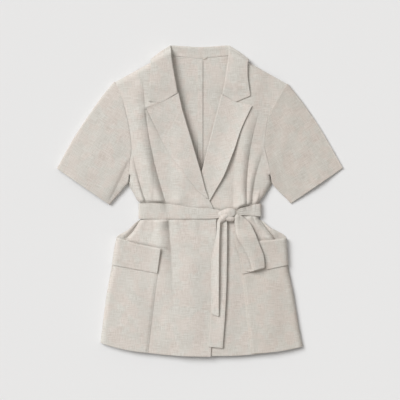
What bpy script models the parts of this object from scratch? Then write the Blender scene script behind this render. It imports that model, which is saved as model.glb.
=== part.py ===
"""A tie-belt blazer with short sleeves, laid flat on its back.

The jacket lies in the XY plane with the collar at +Y, the face of the fronts at +Z and its
underside on z = 0. The wearer's right side lies at -X. Tables are in millimetres, as a pattern
is, and every mesh is written in metres.
"""

import bmesh
import bpy
import numpy as np

MM = 0.001

# Walls of cloth, and the gap between neighbours
CLOTH = 1.2
TWO_PLY = 1.4
SEAM_GAP = 0.35

# How the layers are stacked, measured between the middles of the walls
FLOOR_LEVEL = CLOTH / 2
LAYER_STEP = CLOTH + SEAM_GAP
BODY_PUFF = 2.7
SIDE_ROLL = 12.0
LAP_LIFT = 2.4
LAPEL_UNDER_LAP = 1.9
POCKET_LIFT = 2.3
CUFF_LIFT = 2.0
LEAF_GAP = 0.6
LEAF_REST = CLOTH / 2 + LEAF_GAP + TWO_PLY / 2
LEAST_PUFF = 1.2
PRESSED_PUFF_LOSS = 0.3
PRESSED_FOLD_LOSS = 0.7
ARMPIT_Y = 60.0

# Where the lap rises over the left front, and where the left lapel lies beneath it
LAP_START_X, LAP_RISE_X = -72.0, 36.0
LAP_TOP_Y, LAP_RISE_Y = 175.0, 60.0
UNDER_LAPEL_TOP_Y, UNDER_LAPEL_RISE_Y = 105.0, 30.0
UNDER_LAPEL_BREAK_RISE_Y = 20.0
# Where the belt and the tails come down off the lap
CARRIER_END_X, CARRIER_RISE_X = 84.0, 40.0
TAIL_REACH_X = 50.0

# Roll of the lapels, which flattens towards the break of the fronts
ROLL_AT_COLLAR = 2.4
ROLL_AT_BREAK = 0.95
ROLL_FULL_Y, ROLL_FLATTENS_IN = 180.0, 120.0
ROLL_REST_LENGTH = 14.0
ROLL_START_Y, ROLL_START_RISE = 5.0, 5.0
ROLL_END_Y, ROLL_END_RISE = 252.0, 6.0
COLLAR_ROLL = 1.9

# Belt, and how far the back is lifted over it and over the collar's hidden leaf
BELT_TOP, BELT_BOTTOM = -6.0, -42.0
BACK_OVER_BELT = 2.0
BACK_OVER_COLLAR = 2.3
LEAF_END_Y, LEAF_HALF_WIDTH = 287.0, 114.0
LIFT_MARGIN = 20.0
LIFT_SLOPE = 30.0

CENTRE_BACK = 7.0
CENTRE_BACK_HEM_Y = -354.0

# How far the middle of a panel's hem hangs below the straight line between its ends
FRONT_HEM_BOW = 8.5
BACK_HEM_BOW = 7.5
POCKET_HEM_BOW = 3.5

CLOTH_COLOUR = (0.655, 0.603, 0.552)
CLOTH_ROUGHNESS = 0.9

# Fronts, a row for each section from the shoulder down to the hem.
# Columns: side x, side y, front edge x, front edge y
RIGHT_FRONT = (
    (-195.6, 272.6, -81.2, 335.5),
    (-184.0, 250.0, -74.4, 305.0),
    (-174.0, 222.0, -66.0, 275.0),
    (-167.5, 195.0, -57.6, 250.5),
    (-161.8, 169.6, -44.0, 211.0),
    (-156.3, 120.0, -21.6, 145.0),
    (-160.3, 90.0, -5.4, 90.0),
    (-163.4, 41.0, 7.2, 45.0),
    (-150.5, 14.0, 16.6, 14.0),
    (-143.5, 0.5, 21.0, 1.0),
    (-134.8, -7.0, 27.0, -10.0),
    (-134.6, -40.0, 37.0, -40.0),
    (-140.5, -50.0, 37.2, -52.0),
    (-151.4, -68.0, 37.0, -72.0),
    (-169.0, -88.0, 36.0, -95.0),
    (-192.0, -140.0, 33.0, -150.0),
    (-207.0, -215.0, 30.0, -225.0),
    (-218.5, -290.0, 26.5, -300.0),
    (-223.0, -328.5, 24.5, -357.2),
)
LEFT_FRONT = (
    (200.6, 268.0, 81.2, 335.5),
    (187.0, 249.0, 74.4, 305.0),
    (173.0, 226.0, 66.0, 275.0),
    (160.5, 202.0, 58.4, 248.5),
    (154.8, 185.0, 45.0, 213.0),
    (148.8, 126.0, 24.8, 145.0),
    (157.0, 85.0, 10.8, 90.0),
    (164.3, 41.0, -3.4, 45.0),
    (149.0, 14.0, -14.0, 14.0),
    (139.5, 1.0, -19.0, 1.0),
    (135.0, -7.0, -24.0, -10.0),
    (135.0, -40.0, -29.0, -40.0),
    (143.0, -50.0, -29.0, -52.0),
    (153.6, -64.0, -29.0, -70.0),
    (171.0, -86.0, -28.0, -95.0),
    (193.5, -140.0, -27.0, -150.0),
    (207.0, -215.0, -25.0, -225.0),
    (221.0, -290.0, -23.0, -300.0),
    (230.0, -336.5, -22.0, -354.5),
)
# Backs, whose own edge shows between the belt and the pockets.
# Columns: side x, side y, neck or centre seam x, y
RIGHT_BACK = (
    (-195.6, 272.6, -79.0, 335.5),
    (-184.0, 250.0, -40.0, 331.0),
    (-174.0, 222.0, CENTRE_BACK, 327.5),
    (-167.5, 195.0, CENTRE_BACK, 285.0),
    (-161.8, 169.6, CENTRE_BACK, 240.0),
    (-156.3, 120.0, CENTRE_BACK, 150.0),
    (-160.3, 90.0, CENTRE_BACK, 100.0),
    (-163.4, 41.0, CENTRE_BACK, 45.0),
    (-150.5, 14.0, CENTRE_BACK, 14.0),
    (-143.5, 0.5, CENTRE_BACK, 0.5),
    (-134.8, -7.0, CENTRE_BACK, -7.0),
    (-134.6, -40.0, CENTRE_BACK, -40.0),
    (-147.0, -50.0, CENTRE_BACK, -50.0),
    (-165.3, -67.3, CENTRE_BACK, -67.0),
    (-191.0, -84.0, CENTRE_BACK, -84.0),
    (-201.8, -146.6, CENTRE_BACK, -147.0),
    (-213.4, -210.0, CENTRE_BACK, -212.0),
    (-224.9, -297.3, CENTRE_BACK, -300.0),
    (-228.5, -326.5, CENTRE_BACK, CENTRE_BACK_HEM_Y),
)
LEFT_BACK = (
    (200.6, 268.0, 79.0, 335.5),
    (187.0, 249.0, 42.0, 331.2),
    (173.0, 226.0, CENTRE_BACK, 327.5),
    (160.5, 202.0, CENTRE_BACK, 285.0),
    (154.8, 185.0, CENTRE_BACK, 240.0),
    (148.8, 126.0, CENTRE_BACK, 150.0),
    (157.0, 85.0, CENTRE_BACK, 95.0),
    (164.3, 41.0, CENTRE_BACK, 45.0),
    (149.0, 14.0, CENTRE_BACK, 14.0),
    (139.5, 1.0, CENTRE_BACK, 1.0),
    (135.0, -7.0, CENTRE_BACK, -7.0),
    (135.0, -40.0, CENTRE_BACK, -40.0),
    (146.0, -48.0, CENTRE_BACK, -48.0),
    (156.7, -58.1, CENTRE_BACK, -58.0),
    (198.6, -86.0, CENTRE_BACK, -86.0),
    (203.7, -147.3, CENTRE_BACK, -147.0),
    (213.5, -210.0, CENTRE_BACK, -212.0),
    (227.5, -290.0, CENTRE_BACK, -300.0),
    (236.4, -334.6, CENTRE_BACK, CENTRE_BACK_HEM_Y),
)
SHOULDER_START = (79.0, 335.5)
SHOULDER_SLOPE = -0.54

# Roll line of each front, from the break up to the collar. Columns: x, y
RIGHT_ROLL = (
    (20.6, 2.6),
    (12.5, 24.7),
    (1.7, 66.1),
    (-41.1, 211.0),
    (-49.3, 248.7),
    (-55.3, 272.4),
)
LEFT_ROLL = (
    (-18.0, 3.0),
    (-3.4, 45.0),
    (6.8, 74.2),
    (51.1, 248.0),
    (59.5, 280.9),
)
# Lapels. Columns: y on the roll line, middle x, middle y, edge x, edge y
RIGHT_LAPEL = (
    (247.0, -88.0, 224.6, -121.3, 211.0),
    (229.0, -80.0, 205.0, -111.0, 190.0),
    (200.0, -68.0, 176.0, -97.5, 162.0),
    (160.0, -54.0, 143.0, -83.0, 132.5),
    (114.0, -38.0, 107.0, -64.5, 100.0),
    (66.0, -16.0, 65.0, -34.0, 63.0),
    (25.0, 4.0, 24.8, -6.0, 25.0),
    (13.0, 11.0, 13.2, 5.0, 13.5),
)
LEFT_LAPEL = (
    (243.5, 82.0, 225.8, 119.2, 217.9),
    (229.0, 76.0, 205.0, 105.0, 189.0),
    (198.0, 66.0, 177.0, 93.5, 163.0),
    (163.0, 55.0, 147.0, 79.2, 119.9),
    (122.0, 45.0, 101.0, 66.5, 87.0),
    (80.0, 31.0, 67.0, 53.0, 54.6),
    (40.0, 12.0, 34.0, 30.0, 16.0),
    (14.0, -5.0, 12.0, 5.0, 8.0),
)

# Collar, from the right gorge round the back of the neck to the left gorge.
# Columns: seam xyz, fold xyz, middle xyz, edge xyz, turn of the leaf (0 on top, 180 beneath)
COLLAR = (
    (-55.8, 248.4, 4.9, -51.5, 248.4, 7.3, -88.0, 226.6, 8.6, -117.4, 228.6, 6.9, 0),
    (-64.5, 275.0, 4.9, -56.0, 274.0, 7.4, -84.0, 262.0, 9.0, -115.5, 255.0, 6.9, 0),
    (-73.0, 305.0, 5.0, -61.5, 304.0, 7.5, -86.0, 297.0, 9.4, -113.0, 290.0, 7.1, 0),
    (-78.4, 325.0, 5.0, -65.5, 332.0, 7.6, -88.0, 322.0, 9.6, -111.6, 309.0, 7.6, 8),
    (-79.5, 338.0, 4.8, -66.8, 350.0, 7.0, -89.0, 336.0, 9.2, -112.4, 320.5, 7.6, 40),
    (-76.5, 341.0, 4.6, -67.4, 356.0, 6.0, -91.0, 342.5, 6.0, -113.8, 324.4, 4.6, 90),
    (-72.0, 340.2, 4.6, -66.0, 357.0, 4.0, -91.0, 337.5, 1.4, -112.5, 319.5, 0.9, 140),
    (-62.0, 337.2, 4.2, -60.0, 357.0, 3.2, -80.0, 325.0, 0.8, -103.0, 302.0, 0.7, 180),
    (-33.0, 332.4, 3.7, -31.0, 355.0, 3.2, -40.0, 320.0, 0.7, -55.0, 291.0, 0.7, 180),
    (0.0, 329.0, 3.5, 0.0, 353.4, 3.2, 0.0, 319.0, 0.7, 0.0, 288.0, 0.7, 180),
    (33.0, 332.4, 3.7, 31.0, 355.0, 3.2, 40.0, 320.0, 0.7, 55.0, 291.0, 0.7, 180),
    (62.0, 337.2, 4.2, 59.0, 357.0, 3.2, 80.0, 325.0, 0.8, 102.0, 302.0, 0.7, 180),
    (72.0, 340.2, 4.6, 65.0, 357.0, 4.0, 90.0, 337.5, 1.4, 111.0, 319.5, 0.9, 140),
    (76.5, 341.0, 4.6, 66.4, 356.0, 6.0, 90.0, 342.5, 6.0, 112.0, 325.4, 4.6, 90),
    (79.5, 338.0, 4.8, 66.8, 350.0, 7.0, 89.0, 336.0, 9.2, 110.6, 321.5, 7.6, 40),
    (78.4, 325.0, 5.0, 66.0, 332.0, 7.6, 87.0, 322.0, 9.6, 108.6, 311.0, 7.6, 8),
    (73.0, 305.0, 5.0, 62.0, 304.0, 7.5, 84.0, 295.0, 9.4, 109.0, 286.0, 7.1, 0),
    (64.5, 275.0, 4.9, 57.7, 274.0, 7.4, 82.0, 262.0, 9.0, 112.0, 262.0, 6.9, 0),
    (56.2, 249.6, 4.9, 52.2, 248.4, 7.3, 82.0, 228.6, 8.6, 115.3, 241.0, 6.9, 0),
)

# Armholes, from the shoulder tip to the armpit. Columns: x, y
RIGHT_ARMHOLE = (
    (-195.6, 272.6),
    (-184.0, 250.0),
    (-174.0, 222.0),
    (-167.5, 195.0),
    (-161.8, 169.6),
    (-156.3, 120.0),
    (-160.3, 90.0),
    (-163.4, 41.0),
)
LEFT_ARMHOLE = (
    (200.6, 268.0),
    (187.0, 249.0),
    (173.0, 226.0),
    (160.5, 202.0),
    (154.8, 185.0),
    (148.8, 126.0),
    (157.0, 85.0),
    (164.3, 41.0),
)
# Sleeves, a row for each section from the armhole to the hem.
# Columns: outer x, outer y, inner x, inner y, share of the armhole's curve that it keeps
RIGHT_SLEEVE = (
    (-197.0, 273.6, -164.6, 41.2, 1.0),
    (-214.0, 254.0, -172.0, 33.0, 0.75),
    (-244.8, 212.4, -181.0, 22.0, 0.4),
    (-292.0, 140.6, -195.0, 6.5, 0.1),
    (-328.5, 74.5, -207.8, -8.6, 0.0),
)
LEFT_SLEEVE = (
    (202.0, 269.0, 165.5, 41.2, 1.0),
    (214.0, 254.0, 172.0, 33.0, 0.75),
    (238.6, 222.7, 181.0, 23.0, 0.4),
    (279.6, 161.1, 195.0, 10.0, 0.1),
    (328.5, 75.5, 209.6, -5.6, 0.0),
)
SLEEVE_HALF_DEPTH = 2.15
SLEEVE_EDGE_STEEPNESS = 6.0
POINTS_ROUND_SLEEVE = 18
ROWS_DOWN_SLEEVE = 9

# Patch pockets. Columns: side x, side y, inner x, inner y
RIGHT_POCKET = (
    (-189.0, -88.0, -91.5, -112.5),
    (-199.2, -146.6, -96.5, -160.0),
    (-213.4, -210.0, -103.6, -215.0),
    (-224.9, -297.3, -114.0, -300.0),
    (-228.5, -326.5, -119.7, -349.0),
)
LEFT_POCKET = (
    (196.8, -88.0, 88.0, -97.0),
    (200.4, -147.3, 96.5, -160.0),
    (214.5, -210.0, 102.6, -215.0),
    (227.5, -290.0, 112.0, -300.0),
    (236.4, -334.6, 118.3, -350.5),
)
POCKET_EDGE_ROLL = 5.0
CUFF_EDGE_ROLL = 4.0
# Turned-down cuffs of the pockets. Columns: side x, side y, middle x, middle y, inner x, inner y
RIGHT_CUFF = (
    (-191.4, -83.8, -150.0, -97.4, -90.3, -109.8),
    (-197.6, -115.0, -150.0, -126.0, -94.0, -137.0),
    (-202.2, -146.4, -150.0, -156.4, -98.1, -165.3),
)
LEFT_CUFF = (
    (198.9, -86.5, 150.0, -91.4, 84.3, -92.8),
    (201.8, -116.0, 150.0, -124.0, 90.8, -130.0),
    (203.6, -146.6, 150.0, -158.0, 97.4, -167.3),
)

# The largest folds. Columns: start x, start y, end x, end y, half width, rise (down is minus)
FOLDS = (
    (-131.0, 240.0, -84.0, -4.0, 9.0, -1.6),
    (-119.0, 170.0, -101.0, -4.0, 10.0, 3.2),
    (-156.0, 97.0, -126.0, -4.0, 6.0, -1.5),
    (117.0, 130.0, 104.0, -4.0, 7.0, -1.6),
    (124.0, 110.0, 112.0, -4.0, 8.0, 3.0),
    (90.0, 120.0, 92.0, -4.0, 10.0, 1.8),
    (-82.0, -200.0, -80.0, -44.0, 9.0, -1.6),
    (-97.0, -170.0, -103.0, -44.0, 12.0, 2.8),
    (100.0, -190.0, 84.0, -44.0, 11.0, 1.6),
    (150.0, -90.0, 122.0, -44.0, 8.0, 1.8),
    (-15.0, -300.0, -18.0, -150.0, 18.0, 1.2),
    (60.0, -330.0, 74.0, -160.0, 16.0, 1.2),
)

# Belt, from the knot over the right front, round the back and over the left front to the knot.
# Columns: x, top y, bottom y, share of the way down the side (0 on top, 1 beneath)
BELT = (
    (49.0, -24.0, -38.5, 0.0),
    (36.0, -20.5, -40.3, 0.0),
    (15.0, -18.0, -41.2, 0.0),
    (-11.0, -17.0, -41.3, 0.0),
    (-60.0, -9.5, -41.4, 0.0),
    (-87.0, -7.0, -41.4, 0.0),
    (-126.0, -6.6, -41.2, 0.0),
    (-137.0, -6.6, -41.2, 0.12),
    (-140.4, -6.8, -41.2, 0.5),
    (-137.0, -7.0, -41.2, 0.95),
    (-130.0, -7.0, -41.2, 1.0),
    (0.0, -7.0, -41.0, 1.0),
    (130.0, -7.0, -40.5, 1.0),
    (137.4, -7.2, -38.0, 0.95),
    (140.8, -7.2, -36.4, 0.5),
    (137.4, -7.4, -35.6, 0.12),
    (126.0, -9.4, -34.4, 0.0),
    (100.0, -16.4, -32.4, 0.0),
    (84.0, -22.0, -32.0, 0.0),
)
BELT_REST = 2.3
BELT_BACK_LEVEL = TWO_PLY / 2
BELT_MIDDLE_Y = -24.0
BELT_LEVEL_HALF_WIDTH = 118.0

# Knot, a soft lump over the crossing. Columns: x, centre y, half height, half depth
KNOT = (
    (43.6, -32.0, 2.5, 1.4),
    (47.0, -31.6, 8.5, 3.4),
    (55.0, -31.5, 12.4, 5.0),
    (64.0, -31.6, 14.2, 5.6),
    (74.0, -31.0, 13.2, 5.2),
    (82.0, -29.0, 9.0, 4.0),
    (87.0, -27.6, 2.6, 1.5),
)
KNOT_FLOOR = 11.4

# Tails and loop. Columns: left x, left y, right x, right y
TAIL_UNDER = (
    (47.0, -43.0, 61.0, -43.0),
    (46.0, -58.0, 62.0, -58.0),
    (38.0, -110.0, 61.8, -110.0),
    (31.0, -182.0, 60.6, -182.3),
    (25.0, -265.0, 56.8, -266.0),
    (19.6, -333.9, 51.7, -337.2),
)
TAIL_UPPER = (
    (39.9, -49.0, 46.0, -49.5),
    (38.3, -76.5, 44.6, -77.0),
    (31.0, -110.0, 43.8, -111.0),
    (25.8, -150.0, 43.2, -152.0),
    (25.6, -200.0, 42.9, -203.0),
    (26.1, -258.7, 43.0, -264.5),
)
TAIL_STEP = TWO_PLY + 0.7
LOOP = (
    (79.0, -40.0, 97.0, -39.0),
    (80.0, -58.0, 112.5, -54.0),
    (83.4, -78.8, 122.0, -71.4),
    (92.3, -108.7, 134.5, -101.0),
    (104.0, -135.0, 145.0, -131.0),
    (114.2, -156.5, 147.6, -153.0),
)
LOOP_UNDER_SHIFT = -4.0
LOOP_HALF_GAPE = 1.4
LOOP_END_TURN = (1.2, -2.6, 0.8, -2.6)
# Where the loop rises on to the cuff of the left pocket
CUFF_START_Y, CUFF_RISE_Y = -62.0, 22.0
CUFF_START_X, CUFF_RISE_X = 62.0, 18.0

# Turned seam allowance down the inside of the centre back
ALLOWANCE_LEFT_X, ALLOWANCE_RIGHT_X = -4.5, 6.3
ALLOWANCE_TOP_Y, ALLOWANCE_END_Y = 323.0, -350.0
ALLOWANCE_WALL = 1.0


def rows_at(table, shares, by_row=False):
    """Sample a smooth curve through the rows of a table, at shares of its length or of its rows.

    A cubic runs between each two rows. Its slope at a row is the harmonic mean of the slopes
    on both sides, or level at a turn, so that it never swings past a row.
    """
    rows = np.array(table, dtype=float)
    steps = np.linalg.norm(np.diff(rows, axis=0), axis=1)
    knots = np.concatenate([[0.0], np.cumsum(steps)])
    secants = np.diff(rows, axis=0) / steps[:, None]
    before, after = secants[:-1], secants[1:]
    same_way = before * after > 0
    total = np.where(same_way, before + after, 1.0)
    inner = np.where(same_way, 2 * before * after / total, 0.0)
    slopes = np.vstack([secants[:1], inner, secants[-1:]])
    at = np.asarray(shares) * knots[-1]
    if by_row:
        last = len(rows) - 1
        at = np.interp(np.asarray(shares) * last, np.arange(last + 1), knots)
    left = np.clip(np.searchsorted(knots, at, side="right") - 1, 0, len(rows) - 2)
    step = steps[left][:, None]
    t = ((at - knots[left]) / steps[left])[:, None]
    return (
        (1 + 2 * t) * (1 - t) ** 2 * rows[left]
        + t * (1 - t) ** 2 * step * slopes[left]
        + t * t * (3 - 2 * t) * rows[left + 1]
        + t * t * (t - 1) * step * slopes[left + 1]
    )


def rows_through(table, count):
    """Rows even along the curve's length."""
    return rows_at(table, np.linspace(0, 1, count))


def rows_between(table, pieces):
    """Rows that split each gap of the table into equal pieces, and keep the table's own rows."""
    count = (len(table) - 1) * pieces + 1
    return rows_at(table, np.linspace(0, 1, count), by_row=True)


def ease(t):
    """Rise smoothly from 0 to 1 as t goes from 0 to 1."""
    t = np.clip(t, 0.0, 1.0)
    return t * t * (3 - 2 * t)


def edge_roll(distance, radius):
    """Height of a rounded edge, 0 at the edge and 1 from the radius inwards."""
    near = np.clip(distance / radius, 0.0, 1.0)
    return np.sqrt(1 - (1 - near) ** 2)


def outline_x(table, y):
    """Half width of a side outline at height y, from rows whose first two columns are x, y."""
    rows = np.array(table, dtype=float)[::-1]
    return np.abs(np.interp(y, rows[:, 1], rows[:, 0]))


def under_belt(y):
    """1 where the belt passes under the back or over the fronts, 0 well away from it."""
    low = ease((y - BELT_BOTTOM + LIFT_MARGIN + LIFT_SLOPE) / LIFT_SLOPE)
    high = ease((BELT_TOP + LIFT_MARGIN + LIFT_SLOPE - y) / LIFT_SLOPE)
    return low * high


def collar_lift(x, y):
    """Lift of the layers over the collar's hidden leaf."""
    reach = LIFT_MARGIN + LIFT_SLOPE
    low = ease((y - LEAF_END_Y + reach) / LIFT_SLOPE)
    sides = ease((LEAF_HALF_WIDTH + reach - np.abs(x)) / LIFT_SLOPE)
    return BACK_OVER_COLLAR * low * sides


def back_level(x, y):
    """Middle of the back's wall, lifted over the belt and over the collar's hidden leaf."""
    return FLOOR_LEVEL + BACK_OVER_BELT * under_belt(y) + collar_lift(x, y)


def shoulder_distance(x, y):
    """Distance below the line of the shoulder seam."""
    line_y = SHOULDER_START[1] + SHOULDER_SLOPE * (np.abs(x) - SHOULDER_START[0])
    return (line_y - y) / np.hypot(1.0, SHOULDER_SLOPE)


def fold_relief(x, y):
    """Sum of soft ridges and troughs, each a bell across its line that deepens to its end."""
    relief = np.zeros_like(x)
    for start_x, start_y, end_x, end_y, half_width, rise in FOLDS:
        run_x, run_y = end_x - start_x, end_y - start_y
        length = np.hypot(run_x, run_y)
        along = ((x - start_x) * run_x + (y - start_y) * run_y) / length**2
        across = ((x - start_x) * run_y - (y - start_y) * run_x) / length
        depth = ease(along) * ease((1.1 - along) / 0.15)
        relief += rise * depth * np.exp(-((across / half_width) ** 2))
    return relief


def body_puff(x, y, side):
    """Height of a front above the back's edge: rolled at side and shoulder, pressed by the belt."""
    side_distance = np.where(y < ARMPIT_Y, outline_x(side, y) - np.abs(x), SIDE_ROLL)
    edges = edge_roll(side_distance, SIDE_ROLL) * edge_roll(shoulder_distance(x, y), SIDE_ROLL)
    height = BODY_PUFF * (1 - PRESSED_PUFF_LOSS * under_belt(y))
    height = height + fold_relief(x, y) * (1 - PRESSED_FOLD_LOSS * under_belt(y))
    return np.maximum(height, LEAST_PUFF) * edges


def front_level(x, y, side):
    """Middle of a front's wall, on the back's."""
    return back_level(x, y) + LAYER_STEP + body_puff(x, y, side)


def lap_lift(x, y):
    """Extra height of the right front where it laps over the left front and its lapel."""
    over_lapel = ease(y / UNDER_LAPEL_BREAK_RISE_Y + 0.5)
    over_lapel = over_lapel * ease((UNDER_LAPEL_TOP_Y - y) / UNDER_LAPEL_RISE_Y)
    lap = LAP_LIFT + LAPEL_UNDER_LAP * over_lapel
    return lap * ease((x - LAP_START_X) / LAP_RISE_X) * ease((LAP_TOP_Y - y) / LAP_RISE_Y)


def right_front_level(x, y):
    return front_level(x, y, RIGHT_FRONT) + lap_lift(x, y)


def left_front_level(x, y):
    return front_level(x, y, LEFT_FRONT)


def carrier_level(x, y):
    """What the belt and its tails lie on: the lap, easing down past the front edge."""
    on_lap = ease((CARRIER_END_X - x) / CARRIER_RISE_X)
    return front_level(x, y, RIGHT_FRONT) + lap_lift(x, y) * on_lap


def roll_x(table, y):
    """Where the roll line lies at height y."""
    rows = np.array(table, dtype=float)
    return np.interp(y, rows[:, 1], rows[:, 0])


def roll_radius(y):
    """Radius of the lapels' roll, which flattens towards the break."""
    full = ease((y - ROLL_FULL_Y) / ROLL_FLATTENS_IN + 1.0)
    return ROLL_AT_BREAK + (ROLL_AT_COLLAR - ROLL_AT_BREAK) * full


def material_for(name):
    """Each piece has a material of its own in the jacket's cloth."""
    material = bpy.data.materials.new(name)
    material.use_nodes = True
    shader = material.node_tree.nodes["Principled BSDF"]
    shader.inputs["Base Color"].default_value = (*CLOTH_COLOUR, 1.0)
    shader.inputs["Roughness"].default_value = CLOTH_ROUGHNESS
    shader.inputs["Metallic"].default_value = 0.0
    material.diffuse_color = (*CLOTH_COLOUR, 1.0)
    return material


def grid_faces(rows, columns, ring):
    """Quads of a grid of points, closed along its rows when it is a ring."""
    index = np.arange(rows * columns).reshape(rows, columns)
    if ring:
        index = np.hstack([index, index[:, :1]])
    corners = (index[:-1, :-1], index[:-1, 1:], index[1:, 1:], index[1:, :-1])
    return np.stack(corners, axis=-1).reshape(-1, 4).tolist()


def add_piece(collection, name, points, wall=CLOTH, ring=False):
    """Make a grid of points an open cloth surface, and give it its wall with Solidify."""
    rows, columns = points.shape[:2]
    mesh = bpy.data.meshes.new(name)
    mesh.from_pydata((points.reshape(-1, 3) * MM).tolist(), [], grid_faces(rows, columns, ring))
    mesh.shade_smooth()
    mesh.materials.append(material_for(name))
    piece = bpy.data.objects.new(name, mesh)
    collection.objects.link(piece)
    solidify = piece.modifiers.new("Cloth wall", "SOLIDIFY")
    solidify.thickness = wall * MM
    solidify.offset = 0.0
    return piece


def across_two(rows, columns, crowd=1.0):
    """Fill each row between its first and last point, closer together at the first."""
    share = (np.linspace(0, 1, columns) ** crowd)[None, :]
    x = rows[:, 0:1] * (1 - share) + rows[:, 2:3] * share
    y = rows[:, 1:2] * (1 - share) + rows[:, 3:4] * share
    return x, y


def panel_to_hem(rows, columns, crowd, hem_bow):
    """A panel whose lower rows bow down more and more, to the full bow at the hem."""
    x, y = across_two(rows, columns, crowd)
    share = (np.linspace(0, 1, columns) ** crowd)[None, :]
    down = (rows[0, 3] - rows[:, 3:4]) / (rows[0, 3] - rows[-1, 3])
    return x, y - hem_bow * np.sin(np.pi * share) * ease((down - 0.5) / 0.5)


def across_three(rows, columns, crowd=1.0):
    """Fill each row from its first through its middle to its last point, straight on each side."""
    share = (np.linspace(0, 1, columns) ** crowd)[None, :]
    first = np.clip(1 - 2 * share, 0, 1)
    last = np.clip(2 * share - 1, 0, 1)
    middle = 1 - first - last
    x = rows[:, 0:1] * first + rows[:, 2:3] * middle + rows[:, 4:5] * last
    y = rows[:, 1:2] * first + rows[:, 3:4] * middle + rows[:, 5:6] * last
    return x, y


def points_of(x, y, z):
    return np.stack(np.broadcast_arrays(x, y, z), axis=-1)


def add_backs(collection):
    """Two back panels on the floor that meet at the centre seam, with its turned allowance."""
    for name, table, sign in (("right_back", RIGHT_BACK, -1), ("left_back", LEFT_BACK, 1)):
        rows = rows_between(table, 2)
        rows[:, 2] += sign * SEAM_GAP / 2
        x, y = panel_to_hem(rows, 8, 1.0, BACK_HEM_BOW)
        add_piece(collection, name, points_of(x, y, back_level(x, y)))
    y = np.linspace(ALLOWANCE_TOP_Y, ALLOWANCE_END_Y, 38)[:, None]
    x = np.array([[ALLOWANCE_LEFT_X, ALLOWANCE_RIGHT_X]])
    z = back_level(x, y) + (CLOTH + ALLOWANCE_WALL) / 2 + 2 * SEAM_GAP
    add_piece(collection, "centre_back_seam", points_of(x, y, z), ALLOWANCE_WALL)


def add_fronts(collection):
    """The left front, and the right front that laps over it, each up to its roll line."""
    for name, table, roll, sign, level in (
        ("right_front", RIGHT_FRONT, RIGHT_ROLL, -1, right_front_level),
        ("left_front", LEFT_FRONT, LEFT_ROLL, 1, left_front_level),
    ):
        rows = rows_between(table, 2)
        edge_y = rows[:, 3]
        beside_roll = roll_x(roll, edge_y) + sign * (roll_radius(edge_y) * 1.05 + 2 * SEAM_GAP)
        rolled = ease((edge_y - ROLL_START_Y) / ROLL_START_RISE)
        rolled = rolled * ease((ROLL_END_Y - edge_y) / ROLL_END_RISE)
        rows[:, 2] += (beside_roll - rows[:, 2]) * rolled
        x, y = panel_to_hem(rows, 14, 1.25, FRONT_HEM_BOW)
        add_piece(collection, name, points_of(x, y, level(x, y)))


def add_lapels(collection):
    """Each lapel turns over a roll along the front's edge and lies back on the front."""
    for name, table, line, level in (
        ("right_lapel", RIGHT_LAPEL, RIGHT_ROLL, right_front_level),
        ("left_lapel", LEFT_LAPEL, LEFT_ROLL, left_front_level),
    ):
        rows = rows_through(table, 16)
        fold_y = rows[:, 0:1]
        fold = np.hstack([roll_x(line, fold_y), fold_y])
        outward = rows[:, 1:3] - fold
        outward /= np.linalg.norm(outward, axis=1)[:, None]
        radius = roll_radius(fold_y)
        centre = fold + outward * radius
        base = level(centre[:, 0:1], centre[:, 1:2])
        turn = np.radians(np.array([[-90.0, -40.0, 0.0, 40.0]]))
        roll_points = points_of(
            centre[:, 0:1] - outward[:, 0:1] * radius * np.cos(turn),
            centre[:, 1:2] - outward[:, 1:2] * radius * np.cos(turn),
            base + radius * (1 + np.sin(turn)),
        )
        x, y = across_three(np.hstack([centre, rows[:, 1:]]), 7, 1.2)
        away = np.hypot(x - centre[:, 0:1], y - centre[:, 1:2])
        rolled = (2 * radius - LEAF_REST) * np.exp(-away / ROLL_REST_LENGTH)
        z = level(x, y) + LEAF_REST + rolled
        points = np.concatenate([roll_points, points_of(x, y, z)], axis=1)
        add_piece(collection, name, points, TWO_PLY)


def add_collar(collection):
    """One collar: the stand rises from the neck seam, rolls over, and its leaf falls outside.

    At the fronts the leaf lies on top; round the shoulders it turns under, to the back.
    """
    rows = np.array(COLLAR)
    seam, fold, middle, edge = (rows[:, k : k + 3] for k in (0, 3, 6, 9))
    side = np.radians(rows[:, 12:13])
    on_top = (1 + np.cos(side)) / 2
    for row_points in (seam, fold, middle, edge):
        row_points[:, 2:3] += on_top * collar_lift(row_points[:, 0:1], row_points[:, 1:2])
    outward = middle - fold
    outward[:, 2] = 0.0
    outward /= np.linalg.norm(outward, axis=1)[:, None]
    along = np.where(fold[:, 0:1] < 0, 1.0, -1.0)
    outside = np.hstack([outward[:, 1:2] * along, -outward[:, 0:1] * along, 0.0 * along])
    up = np.array([[0.0, 0.0, 1.0]])
    leaf_way = np.cos(side) * up + np.sin(side) * outside
    centre = fold + outward * COLLAR_ROLL
    columns = [seam, seam * 0.5 + (centre - leaf_way * COLLAR_ROLL) * 0.5]
    for turn in np.radians((-90.0, -35.0, 35.0, 90.0)):
        columns.append(centre + COLLAR_ROLL * (np.sin(turn) * leaf_way - np.cos(turn) * outward))
    start = centre + leaf_way * COLLAR_ROLL
    columns += [start * 0.5 + middle * 0.5, middle, edge]
    add_piece(collection, "collar", np.stack(columns, axis=1), TWO_PLY)


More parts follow.
